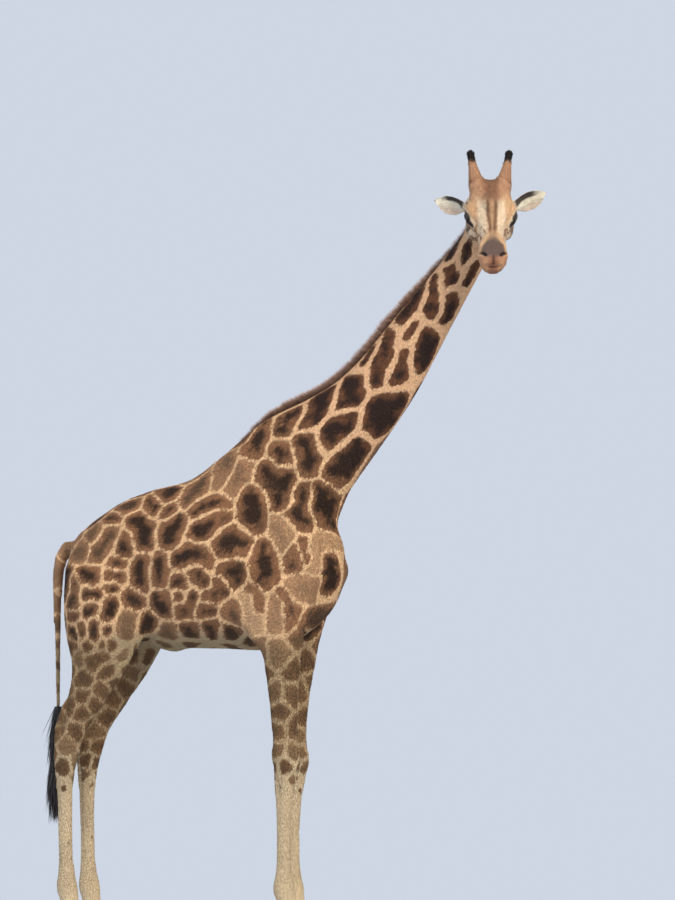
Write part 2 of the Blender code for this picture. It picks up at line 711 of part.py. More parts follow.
def eye(frame, side, head):
    """An eyeball, in a socket that is cut for it in the head."""
    place = frame @ Matrix.Translation((EYE_PLACE.x, side * EYE_PLACE.y, EYE_PLACE.z))
    boolean(head, "DIFFERENCE", ellipsoid("socket", place, (EYE_RADIUS + GAP,) * 3, 12))
    return finish(ellipsoid("eye", place, (EYE_RADIUS,) * 3, 12), f"eye_{side_name(side)}", "eye")


def tail(body_copy):
    """The tail with its long tuft of hair, hanging clear of the hind legs."""
    dock = tube("tail", TAIL_LINE, TAIL_RADII, 14)
    boolean(dock, "DIFFERENCE", grown(body_copy, "cutter"))
    dock = largest_body(dock)
    tuft = tube("tail_tuft", TUFT_LINE, TUFT_RADII, 10, 3)
    boolean(tuft, "DIFFERENCE", grown(dock, "cutter"))
    finish(dock, "tail", "coat")
    finish(largest_body(tuft), "tail_tuft", "tuft")


def centre_on_floor():
    """Moves every piece so that the origin is under the middle of the whole model's box."""
    pieces = bpy.data.collections["giraffe"].objects
    corners = np.array([vert.co for obj in pieces for vert in obj.data.vertices])
    middle = (corners.min(axis=0) + corners.max(axis=0)) / 2
    shift = Matrix.Translation((-middle[0], -middle[1], -corners[:, 2].min()))
    for obj in pieces:
        obj.data.transform(shift)


def main():
    clear_scene()
    for collection in ("giraffe", "workshop"):
        bpy.context.scene.collection.children.link(bpy.data.collections.new(collection))
    body = melted_body()
    whole = copied(body, "whole")
    frame = head_frame()
    head = melted_head(frame)

    for side in (NEAR, FAR):
        ear(frame, side, head, whole)
        horn(frame, side, head)
    mane(whole, head)
    tail(whole)

    (lower, middle, upper), body = part_neck(body)
    boolean(upper, "DIFFERENCE", grown(head, "cutter"))
    finish(lower, "neck_lower", "coat")
    finish(middle, "neck_middle", "coat")
    finish(largest_body(upper), "neck_upper", "coat")

    for side in (NEAR, FAR):
        back = FAR_FORELEG_BACK if side == FAR else 0.0
        body = part_leg(body, f"foreleg_{side_name(side)}", leg_well(side, *FORELEG_CUT), KNEE_HEIGHT)
        body = part_leg(body, f"hindleg_{side_name(side)}", leg_well(side, *HINDLEG_CUT), HOCK_HEIGHT)
        fore, hind = FORELEG["coronet"], HINDLEG["coronet"]
        hooves(f"fore_{side_name(side)}", fore.x - back, side * fore.y)
        hooves(f"hind_{side_name(side)}", hind.x, side * hind.y)
        eye(frame, side, head)
    finish(body, "trunk", "coat")
    finish(head, "head", "coat")
    bpy.data.objects.remove(whole)
    centre_on_floor()


main()
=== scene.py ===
"""A life-size standing giraffe: one skin under a short coat, with its mane, horns, eyes, hooves and tail."""

import logging
import math
from dataclasses import asdict, dataclass, field, replace
from enum import IntEnum
from typing import Iterable, Optional, Sequence

import bmesh
import bpy
import numpy as np
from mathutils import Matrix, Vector, noise
from mathutils.bvhtree import BVHTree


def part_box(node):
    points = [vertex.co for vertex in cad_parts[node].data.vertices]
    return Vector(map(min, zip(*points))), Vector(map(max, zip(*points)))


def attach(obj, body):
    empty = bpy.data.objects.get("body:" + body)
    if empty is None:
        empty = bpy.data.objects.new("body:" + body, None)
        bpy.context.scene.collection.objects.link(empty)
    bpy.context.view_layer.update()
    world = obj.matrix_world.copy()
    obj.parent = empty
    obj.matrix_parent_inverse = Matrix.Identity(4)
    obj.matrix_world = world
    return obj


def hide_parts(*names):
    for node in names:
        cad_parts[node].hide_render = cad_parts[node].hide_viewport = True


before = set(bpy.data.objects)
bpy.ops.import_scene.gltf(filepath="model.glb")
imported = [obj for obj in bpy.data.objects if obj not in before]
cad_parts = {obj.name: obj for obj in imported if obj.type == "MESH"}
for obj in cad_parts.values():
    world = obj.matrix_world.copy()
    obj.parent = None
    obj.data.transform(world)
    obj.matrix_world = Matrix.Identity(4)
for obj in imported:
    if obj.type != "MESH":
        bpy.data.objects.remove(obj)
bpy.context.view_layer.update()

Points = np.ndarray
Spot = tuple[float, float, float]
Socket = bpy.types.NodeSocket
Plug = Socket | float | tuple  # what an input takes: another node's output or a value
Span = tuple[float, float]  # two numbers, most often where a smooth step starts and where it is complete
ROOT = "root"
BAKE_MAP = "OFBake"
ATTRIBUTE_FIELDS = {"FLOAT": "value", "FLOAT_VECTOR": "vector", "FLOAT_COLOR": "color"}
WELD = 0.00005  # CAD vertices nearer than this are one
log = logging.getLogger("giraffe")


class Side(IntEnum):
    """A side of the animal, as the sign of its leftward axis."""

    LEFT = 1
    RIGHT = -1

    @property
    def word(self) -> str:
        """The side's name as the CAD nodes spell it."""
        return self.name.lower()


class Zone(IntEnum):
    """A stretch of skin whose coat is one piece."""

    HEAD = 0
    NECK = 1
    BARREL_LEFT = 2
    BARREL_RIGHT = 3
    FORELEGS = 4
    HINDLEGS = 5


# ---------------------------------------------------------------- small tools
def paint(red: float, green: float, blue: float) -> np.ndarray:
    """A screen colour, 0 to 255 a channel, as the linear light that shaders take."""
    screen = np.array((red, green, blue)) / 255.0
    return np.where(screen <= 0.04045, screen / 12.92, ((screen + 0.055) / 1.055) ** 2.4)


def rgba(colour: np.ndarray) -> tuple[float, float, float, float]:
    """A linear colour with full opacity."""
    return (*map(float, colour), 1.0)


def step(low: float, high: float, value: Points) -> Points:
    """A smooth rise from 0 where the value is low to 1 where it is high, or a fall if high is below low."""
    share = np.clip((value - low) / (high - low), 0.0, 1.0)
    return share * share * (3.0 - 2.0 * share)


def blend(a: Points, b: Points, share: Points) -> Points:
    """Colours a and b mixed row by row, with share of b."""
    return a + (b - a) * np.asarray(share)[..., None]


def layered(colour: Points, *coats: tuple[Points, Points]) -> Points:
    """A row for each place under layers, each a row and its share, laid on in turn."""
    for over, share in coats:
        colour = blend(colour, over, share)
    return colour


def settled(value: float | Points, *targets: tuple[float, Points]) -> Points:
    """A number for each place, drawn in turn towards each target by that target's share."""
    for target, share in targets:
        value = value + (target - value) * share
    return value


def repeated(row: Sequence[float], points: Points) -> Points:
    """The same row for each of the points."""
    return np.tile(row, (len(points), 1))


def rows_of(items: bpy.types.bpy_prop_collection, name: str) -> Points:
    """A vector of each of a mesh's items, as rows."""
    flat = np.empty(len(items) * 3, np.float32)
    items.foreach_get(name, flat)
    return flat.reshape(-1, 3).astype(float)


def coordinates(mesh: bpy.types.Mesh) -> Points:
    """A mesh's vertices as rows of x, y and z."""
    return rows_of(mesh.vertices, "co")


def normals_of(mesh: bpy.types.Mesh) -> Points:
    """A mesh's vertex normals as rows."""
    return rows_of(mesh.vertex_normals, "vector")


def flattened(ways: Points, normals: Points) -> Points:
    """Directions with what points along the normals taken away."""
    return ways - normals * np.einsum("ij,ij->i", ways, normals)[:, None]


def put(mesh: bpy.types.Mesh, points: Points) -> None:
    """Moves a mesh's vertices to the given rows."""
    mesh.vertices.foreach_set("co", points.astype(np.float32).ravel())
    mesh.update()


def wander(points: Points, pitch: float, seed: float) -> Points:
    """Soft noise at each point, about -1 to 1: pitch is the size of a swell, seed moves the field."""
    spots = points / pitch + seed
    return np.array([noise.noise(spot) for spot in spots.tolist()])


def give(mesh: bpy.types.Mesh, name: str, values: Points, kind: str = "FLOAT") -> None:
    """Stores an attribute on a mesh's vertices.

    Args:
        mesh: the mesh to write on.
        name: the attribute's name.
        values: a number or a row for each vertex.
        kind: the attribute's data type.
    """
    if kind == "FLOAT_COLOR":
        values = np.concatenate([values, np.ones((len(values), 1))], axis=1)
    layer = mesh.attributes.new(name, kind, "POINT")
    layer.data.foreach_set(ATTRIBUTE_FIELDS[kind], values.astype(np.float32).ravel())


def new_object(name: str, mesh: bpy.types.Mesh) -> bpy.types.Object:
    """A mesh as a smooth-shaded object of the scene."""
    mesh.shade_smooth()
    piece = bpy.data.objects.new(name, mesh)
    bpy.context.scene.collection.objects.link(piece)
    return piece


def discard(*pieces: bpy.types.Object) -> None:
    """Removes helper objects with their meshes."""
    for piece in pieces:
        mesh = piece.data
        bpy.data.objects.remove(piece)
        bpy.data.meshes.remove(mesh)


def as_mesh(made: bmesh.types.BMesh, name: str) -> bpy.types.Mesh:
    """A finished bmesh as a mesh; the bmesh is freed."""
    mesh = bpy.data.meshes.new(name)
    made.to_mesh(mesh)
    made.free()
    return mesh


def merged(nodes: Iterable[str], swell: float = 0.0) -> bpy.types.Mesh:
    """Copies of CAD nodes in one mesh, each welded and grown a little so that neighbours overlap.

    Args:
        nodes: the names of the nodes.
        swell: how far each grows along its normals.

    Returns:
        The joined mesh.
    """
    whole = bmesh.new()
    for node in nodes:
        part = bmesh.new()
        part.from_mesh(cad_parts[node].data)
        bmesh.ops.remove_doubles(part, verts=part.verts, dist=WELD)
        part.normal_update()
        grown = [(vertex, vertex.co + vertex.normal * swell) for vertex in part.verts]
        for vertex, place in grown:
            vertex.co = place
        loose = as_mesh(part, node)
        whole.from_mesh(loose)
        bpy.data.meshes.remove(loose)
    return as_mesh(whole, "merged")


def evaluated_mesh(piece: bpy.types.Object) -> bpy.types.Mesh:
    """The mesh that a piece's modifiers make, with its own attributes kept."""
    graph = bpy.context.evaluated_depsgraph_get()
    return bpy.data.meshes.new_from_object(
        piece.evaluated_get(graph), preserve_all_data_layers=True, depsgraph=graph
    )


def remeshed(mesh: bpy.types.Mesh, voxel: float) -> bpy.types.Mesh:
    """A closed mesh as one surface of even quads.

    Args:
        mesh: closed solids that may overlap; it is removed.
        voxel: the size of a quad.

    Returns:
        The new mesh.
    """
    helper = new_object("remeshing", mesh)
    grid = helper.modifiers.new("grid", "REMESH")
    grid.mode = "VOXEL"
    grid.voxel_size = voxel
    made = evaluated_mesh(helper)
    discard(helper)
    return made


def relaxed(mesh: bpy.types.Mesh, rounds: int, weight: Optional[Points] = None) -> None:
    """Smooths a mesh without shrinking it: each inward pass is followed by an outward one.

    Args:
        mesh: the mesh to smooth in place.
        rounds: how many pairs of passes.
        weight: how much each vertex takes part, all of them fully if left out.
    """
    inward, outward = 0.5, -0.52
    ends = np.empty(len(mesh.edges) * 2, np.int32)
    mesh.edges.foreach_get("vertices", ends)
    a, b = ends[0::2], ends[1::2]
    points = coordinates(mesh)
    total = len(points)
    share = (1.0 / np.maximum(np.bincount(ends, minlength=total), 1))[:, None]
    pull = 1.0 if weight is None else weight[:, None]
    for _ in range(rounds):
        for strength in (inward, outward):
            around = np.stack(
                [
                    np.bincount(a, points[b, axis], total) + np.bincount(b, points[a, axis], total)
                    for axis in range(3)
                ],
                axis=1,
            )
            points += strength * pull * (around * share - points)
    put(mesh, points)


# ---------------------------------------------------------------- the animal's own frames
class HeadFrame:
    """The head's frame: x to the muzzle, y to its left, z up from the forehead; found from the eyes."""

    NOD = math.radians(35)  # the face points this far below the horizon
    EYE = (0.205, 0.119, 0.052)  # the left eye's middle in this frame
    EYE_RADIUS = 0.027
    REACH = 0.85  # all of the head lies this near its pivot, and none of the trunk
    NAPE = (0.030, 0.060)  # the throat's plane passes this far behind and below the pivot
    SLANT = (0.872, 0.490)  # that plane's normal, ahead and up
    CHIN_DROP = 0.185  # the head ends this far below the pivot

    def __init__(self) -> None:
        """Finds the frame from the eyes' CAD boxes."""
        left, right = (sum(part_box(f"eye_{side.word}"), Vector()) / 2 for side in Side)
        across = (left - right).normalized()
        ahead = across.cross(Vector((0, 0, 1))).normalized()
        muzzle = ahead * math.cos(self.NOD) - Vector((0, 0, math.sin(self.NOD)))
        up = muzzle.cross(across)
        self.axes = np.array((muzzle, across, up))
        middle = np.array((left + right) / 2)
        self.pivot = middle - np.array((self.EYE[0], 0.0, self.EYE[2])) @ self.axes

    def inside(self, points: Points) -> Points:
        """World places in the head's frame."""
        return (points - self.pivot) @ self.axes.T

    def outside(self, points: Points) -> Points:
        """Places in the head's frame back in the world."""
        return np.asarray(points) @ self.axes + self.pivot

    def turned(self, directions: Points) -> Points:
        """Directions in the head's frame as the world's."""
        return np.asarray(directions) @ self.axes

    def beyond_throat(self, points: Points) -> Points:
        """How far places near the head lie in front of the slanting plane from nape to throat.

        Args:
            points: rows of world places.

        Returns:
            The distance in front of it, below 0 behind.
        """
        local = self.inside(points)
        back, below = self.NAPE
        ahead = self.SLANT[0] * (local[:, 0] + back) + self.SLANT[1] * (local[:, 2] + below)
        ahead = np.minimum(ahead, local[:, 2] + self.CHIN_DROP)
        return np.where(np.linalg.norm(local, axis=1) < self.REACH, ahead, -self.REACH)


class BodyFrame:
    """The body's frame: forward from the buttock, left from the middle plane, and height."""

    def __init__(self) -> None:
        """Finds the frame from the trunk's CAD box and the neck's line from its three nodes."""
        low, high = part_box("trunk")
        self.origin = np.array((low.x, (low.y + high.y) / 2, 0.0))
        middles = [sum(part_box(f"neck_{part}"), Vector()) / 2 for part in ("lower", "middle", "upper")]
        self.neck = [np.array(middle) for middle in middles]

    def inside(self, points: Points) -> Points:
        """World places in the body's frame."""
        return points - self.origin

    def along_neck(self, points: Points) -> Points:
        """Metres up the neck from its lower node's middle, negative towards the trunk.

        Args:
            points: rows of world places.

        Returns:
            The distance for each place.
        """
        low, middle, high = self.neck
        first, second = middle - low, high - middle
        length = np.linalg.norm(first)
        lower = (points - low) @ (first / length)
        upper = length + (points - middle) @ (second / np.linalg.norm(second))
        return np.where(lower < length, lower, np.maximum(upper, length))

    def neck_way(self) -> Points:
        """The unit direction up the neck."""
        way = self.neck[2] - self.neck[0]
        return way / np.linalg.norm(way)

    def neck_top_way(self) -> Points:
        """The unit direction up the neck's last stretch."""
        way = self.neck[2] - self.neck[1]
        return way / np.linalg.norm(way)


HEAD = HeadFrame()
BODY = BodyFrame()


# ---------------------------------------------------------------- skin
@dataclass(frozen=True)
class Ridge:
    """A soft rise along a line, or a hollow where its height is negative."""

    start: Spot  # one end, in its frame
    end: Spot  # the other end
    radius: float  # how far it reaches from the line
    height: float = 1.0  # how far the skin moves outwards on the line

    def rise(self, points: Points) -> Points:
        """How far the skin moves at each place of the ridge's frame.

        Args:
            points: rows of places.

        Returns:
            The movement for each place.
        """
        start, end = np.array(self.start), np.array(self.end)
        line = end - start
        share = np.clip((points - start) @ line / max(line @ line, 1e-9), 0.0, 1.0)
        away = points - start - share[:, None] * line
        return self.height * np.exp(-np.einsum("ij,ij->i", away, away) / self.radius**2)


def both_sides(ridges: Sequence[Ridge], points: Points, reach: float = 0.0) -> Points:
    """The rise of ridges modelled on the left, and of their mirror images.

    Args:
        ridges: the left side's ridges.
        points: places in a frame whose y is 0 in the middle.
        reach: places this far past the middle still feel the other side.

    Returns:
        The summed rise at each place.
    """
    total = np.zeros(len(points))
    mirrored = points * (1.0, -1.0, 1.0)
    for ridge in ridges:
        total += np.where(points[:, 1] > -reach, ridge.rise(points), 0.0)
        total += np.where(mirrored[:, 1] > -reach, ridge.rise(mirrored), 0.0)
    return total


def in_and_out(ridge: Ridge) -> tuple[Ridge, Ridge]:
    """A leg's ridge on its outer side, and the same on its inner side."""
    flip = (1, -1, 1)
    start, end = (tuple(a * b for a, b in zip(spot, flip)) for spot in (ridge.start, ridge.end))
    return ridge, replace(ridge, start=start, end=end)


# Forms of the trunk and upper legs, left side, in the body's frame.
BODY_FORMS = (
    Ridge((1.08, 0.205, 2.74), (1.42, 0.235, 2.28), 0.034, 0.010),  # spine of the shoulder blade
    Ridge((1.26, 0.180, 2.76), (1.53, 0.190, 2.36), 0.040, -0.010),  # before the shoulder blade
    Ridge((1.00, 0.240, 2.66), (1.22, 0.270, 2.16), 0.045, -0.009),  # behind it
    Ridge((1.49, 0.215, 2.23), (1.45, 0.225, 2.16), 0.060, 0.012),  # point of the shoulder
    Ridge((1.13, 0.280, 2.05), (1.17, 0.270, 1.86), 0.040, -0.012),  # behind the upper arm
    Ridge((1.19, 0.255, 1.76), (1.20, 0.255, 1.72), 0.034, 0.010),  # elbow
    Ridge((1.30, 0.285, 1.98), (1.40, 0.280, 1.70), 0.030, -0.006),  # between arm and forearm
    Ridge((1.31, 0.290, 1.62), (1.34, 0.270, 1.30), 0.024, -0.005),  # forearm's groove
    Ridge((0.42, 0.290, 2.14), (0.44, 0.280, 1.98), 0.090, -0.018),  # hollow of the flank
    Ridge((0.405, 0.235, 2.430), (0.350, 0.250, 2.390), 0.050, 0.016),  # hip bone
    Ridge((0.42, 0.270, 2.30), (0.30, 0.280, 1.86), 0.032, 0.010),  # fold of the flank
    Ridge((0.345, 0.280, 1.80), (0.330, 0.280, 1.72), 0.048, 0.010),  # stifle
    Ridge((0.150, 0.260, 2.24), (0.120, 0.265, 1.52), 0.024, -0.008),  # groove down the thigh
    Ridge((0.230, 0.290, 2.10), (0.220, 0.280, 1.55), 0.040, 0.004),  # thigh's middle muscle
    Ridge((0.080, 0.130, 2.330), (0.060, 0.130, 2.290), 0.045, 0.012),  # pin bone
)
# Forms of the lower legs, left side; the second number is measured from the leg's middle.
FORELEG_FORMS = (
    Ridge((1.446, 0.000, 1.060), (1.446, 0.000, 0.985), 0.034, 0.008),  # front of the knee
    *in_and_out(Ridge((1.375, 0.062, 1.030), (1.375, 0.062, 0.990), 0.030, 0.006)),  # its sides
    Ridge((1.300, 0.010, 1.075), (1.300, 0.010, 1.030), 0.026, 0.011),  # bone behind the knee
    Ridge((1.425, 0.040, 0.925), (1.425, -0.040, 0.925), 0.022, -0.005),  # below it
    *in_and_out(Ridge((1.345, 0.050, 0.900), (1.345, 0.048, 0.400), 0.013, -0.007)),  # before the tendon
    Ridge((1.300, 0.000, 0.300), (1.300, 0.000, 0.255), 0.028, 0.007),  # back of the fetlock
    Ridge((1.420, 0.000, 0.300), (1.420, 0.000, 0.270), 0.030, 0.004),  # its front
)
HINDLEG_FORMS = (
    Ridge((-0.045, 0.000, 1.200), (-0.052, 0.000, 1.130), 0.028, 0.009),  # point of the hock
    *in_and_out(Ridge((0.030, 0.055, 1.360), (0.000, 0.050, 1.190), 0.028, -0.013)),  # before the heel tendon
    *in_and_out(Ridge((0.070, 0.040, 1.100), (0.060, 0.040, 1.060), 0.026, 0.006)),  # sides of the hock
    *in_and_out(Ridge((-0.010, 0.048, 0.960), (0.000, 0.046, 0.420), 0.013, -0.007)),  # before the tendon
    Ridge((-0.035, 0.000, 0.310), (-0.032, 0.000, 0.260), 0.028, 0.007),  # back of the fetlock
    Ridge((0.085, 0.000, 0.300), (0.088, 0.000, 0.270), 0.030, 0.004),  # its front
)
RIB_COUNT, RIB_PITCH, RIB_RADIUS, RIB_HEIGHT = 8, 0.068, 0.019, 0.0035
RIBS = tuple(
    Ridge((0.56 + RIB_PITCH * i, 0.300, 2.42), (0.50 + RIB_PITCH * i, 0.310, 1.86), RIB_RADIUS, RIB_HEIGHT)
    for i in range(RIB_COUNT)
)
LEG_MIDDLE = 0.198  # the legs' middles lie this far to each side
STEP_BACK = 0.075  # how far the left forefoot stands behind the right
STEP_HEIGHT = 2.0  # and where that shift starts

# Forms of the head, left side, in the head's frame, felt a little past the middle.
HEAD_OVERLAP = 0.02
HEAD_FORMS = (
    Ridge((0.150, 0.118, 0.092), (0.235, 0.112, 0.092), 0.018, 0.009),  # brow over the eye
    Ridge((0.185, 0.112, 0.056), (0.228, 0.110, 0.046), 0.044, 0.020),  # rim of the eye socket
    Ridge((-0.010, 0.060, 0.165), (0.030, 0.058, 0.165), 0.044, 0.022),  # foot of the horn
    Ridge((0.040, 0.104, 0.130), (0.120, 0.102, 0.118), 0.034, 0.006),  # below it
    Ridge((0.275, 0.096, 0.060), (0.330, 0.078, 0.040), 0.020, -0.006),  # before the eye
    Ridge((0.255, 0.104, 0.010), (0.400, 0.066, -0.020), 0.015, 0.006),  # ridge of the cheekbone
    Ridge((0.235, 0.100, -0.036), (0.340, 0.074, -0.055), 0.024, -0.006),  # hollow below it
    Ridge((0.085, 0.116, -0.050), (0.140, 0.112, -0.105), 0.052, 0.014),  # cheek muscle
    Ridge((0.120, 0.118, 0.050), (0.130, 0.120, 0.015), 0.024, -0.006),  # temple
    Ridge((0.060, 0.060, -0.165), (0.280, 0.040, -0.140), 0.016, 0.004),  # edge of the jaw
    Ridge((0.030, 0.000, -0.150), (0.400, 0.000, -0.122), 0.022, -0.010),  # between the jaws
    Ridge((0.300, 0.045, 0.112), (0.440, 0.036, 0.078), 0.018, 0.003),  # edge of the nose bone
    Ridge((0.430, 0.070, 0.005), (0.520, 0.066, -0.008), 0.022, 0.004),  # upper lip
    Ridge((0.460, 0.062, -0.088), (0.540, 0.050, -0.092), 0.020, 0.005),  # lower lip
    Ridge((0.310, 0.070, -0.020), (0.350, 0.066, -0.060), 0.010, -0.0025),  # folds of the cheek
    Ridge((0.350, 0.066, -0.016), (0.392, 0.062, -0.056), 0.010, -0.0025),
)
# The mouth's line on the left, from its corner to the middle of the lips.
MOUTH_LINE = (
    (0.400, 0.062, -0.066),
    (0.450, 0.072, -0.058),
    (0.505, 0.074, -0.052),
    (0.548, 0.062, -0.052),
    (0.580, 0.036, -0.052),
    (0.590, 0.000, -0.052),
)
# The slit of the left nostril, from its inner upper end outwards and back.
NOSTRIL_LINE = ((0.564, 0.046, 0.018), (0.552, 0.057, 0.018), (0.536, 0.067, 0.010), (0.520, 0.075, -0.004))
# What is modelled along those lines: the line, how far from it, and the height.
MOUTH = (MOUTH_LINE, 0.0065, -0.0085)
NOSTRIL_RIM = (NOSTRIL_LINE, 0.019, 0.006)
NOSTRIL_SLIT = (NOSTRIL_LINE, 0.0085, -0.016)


def chain(line: Sequence[Spot], radius: float, height: float = 1.0) -> tuple[Ridge, ...]:
    """Ridges end to end along a line, which share its height where they meet."""
    return tuple(Ridge(a, b, radius, height) for a, b in zip(line, line[1:]))


def strongest(ridges: Sequence[Ridge], points: Points) -> Points:
    """The largest of the ridges' movements at each place, mirrored to the right side."""
    folded = points * (1.0, 0.0, 1.0) + np.abs(points) * (0.0, 1.0, 0.0)
    moves = np.stack([ridge.rise(folded) for ridge in ridges])
    return moves[np.abs(moves).argmax(axis=0), np.arange(len(points))]


@dataclass
class Eyelids:
    """The lids round an eye, in the head's frame."""

    look: Spot = (0.56, 0.80, 0.18)  # the way the left eye faces
    half_width: float = 0.0240  # half the opening, corner to corner
    half_height: float = 0.0165  # half the opening, lid to lid
    lid: float = 0.0045  # the lids' thickness over the eyeball
    well: float = 0.016  # how far the skin sinks behind the opening
    reach: float = 0.046  # how far round the eye the skin follows the ball
    sink: float = 0.003  # how much deeper the eyeball sits than its CAD solid
    slant: Spot = (0.94, 0.0, -0.34)  # the way from the outer to the inner corner, which lies lower
    pointed: float = 0.28  # how much the opening narrows to its corners
    # The lids' thicker edge: its place in openings from the middle, its reach and its height:
    rim: Spot = (1.25, 0.22, 0.0015)
    fold: Spot = (1.75, 0.16, -0.0022)  # the same for the fold over the upper lid

    def axes(self, side: Side) -> Points:
        """The eye's own axes: along the lids, up across them and outwards.

        Args:
            side: which eye.

        Returns:
            The three unit axes as rows.
        """
        out = np.array(self.look) * (1, side, 1)
        out /= np.linalg.norm(out)
        along = np.array(self.slant)
        along -= out * (along @ out)
        along /= np.linalg.norm(along)
        return np.array((along, np.cross(out, along) * side, out))

    def middle(self, side: Side) -> Points:
        """The eyeball's middle in the head's frame."""
        return np.array(HeadFrame.EYE) * (1, side, 1) - self.axes(side)[2] * self.sink

    def opening(self, local: Points) -> Points:
        """1 on the lids' margin, less inside the opening and more outside, for places in the eye's axes."""
        along, up = local[:, 0] / self.half_width, local[:, 1] / self.half_height
        almond = 1.0 - self.pointed * np.clip(np.abs(along), 0, 1) ** 2
        return np.sqrt(along**2 + (up / almond) ** 2)

    def shape(self, points: Points) -> Points:
        """Forms both eyes' lids.

        Args:
            points: places in the head's frame.

        Returns:
            The places, moved.
        """
        moved = points.copy()
        for side in Side:
            axes, middle = self.axes(side), self.middle(side)
            local = (moved - middle) @ axes.T
            distance = np.linalg.norm(local, axis=1)
            outwards = local[:, 2] > -0.004
            near = outwards & (distance < self.reach + HeadFrame.EYE_RADIUS)
            spot = local[near]
            length = distance[near]
            margin = self.opening(spot)
            cover = HeadFrame.EYE_RADIUS + self.lid
            ring, fold = (
                height * np.exp(-(((margin - place) / width) ** 2))
                for place, width, height in (self.rim, self.fold)
            )
            lids = cover + ring + fold * (spot[:, 1] > 0)
            follow = step(2.6, 1.5, margin)
            wanted = np.maximum(length, lids) * follow + length * (1 - follow)
            wanted = np.where(follow > 0.99, lids, wanted)
            inner = step(1.02, 0.80, margin)
            wanted = wanted * (1 - inner) + (HeadFrame.EYE_RADIUS - self.well) * inner
            spot = spot * (wanted / np.maximum(length, 1e-6))[:, None]
            local[near] = spot
            moved = local @ axes + middle
        return moved


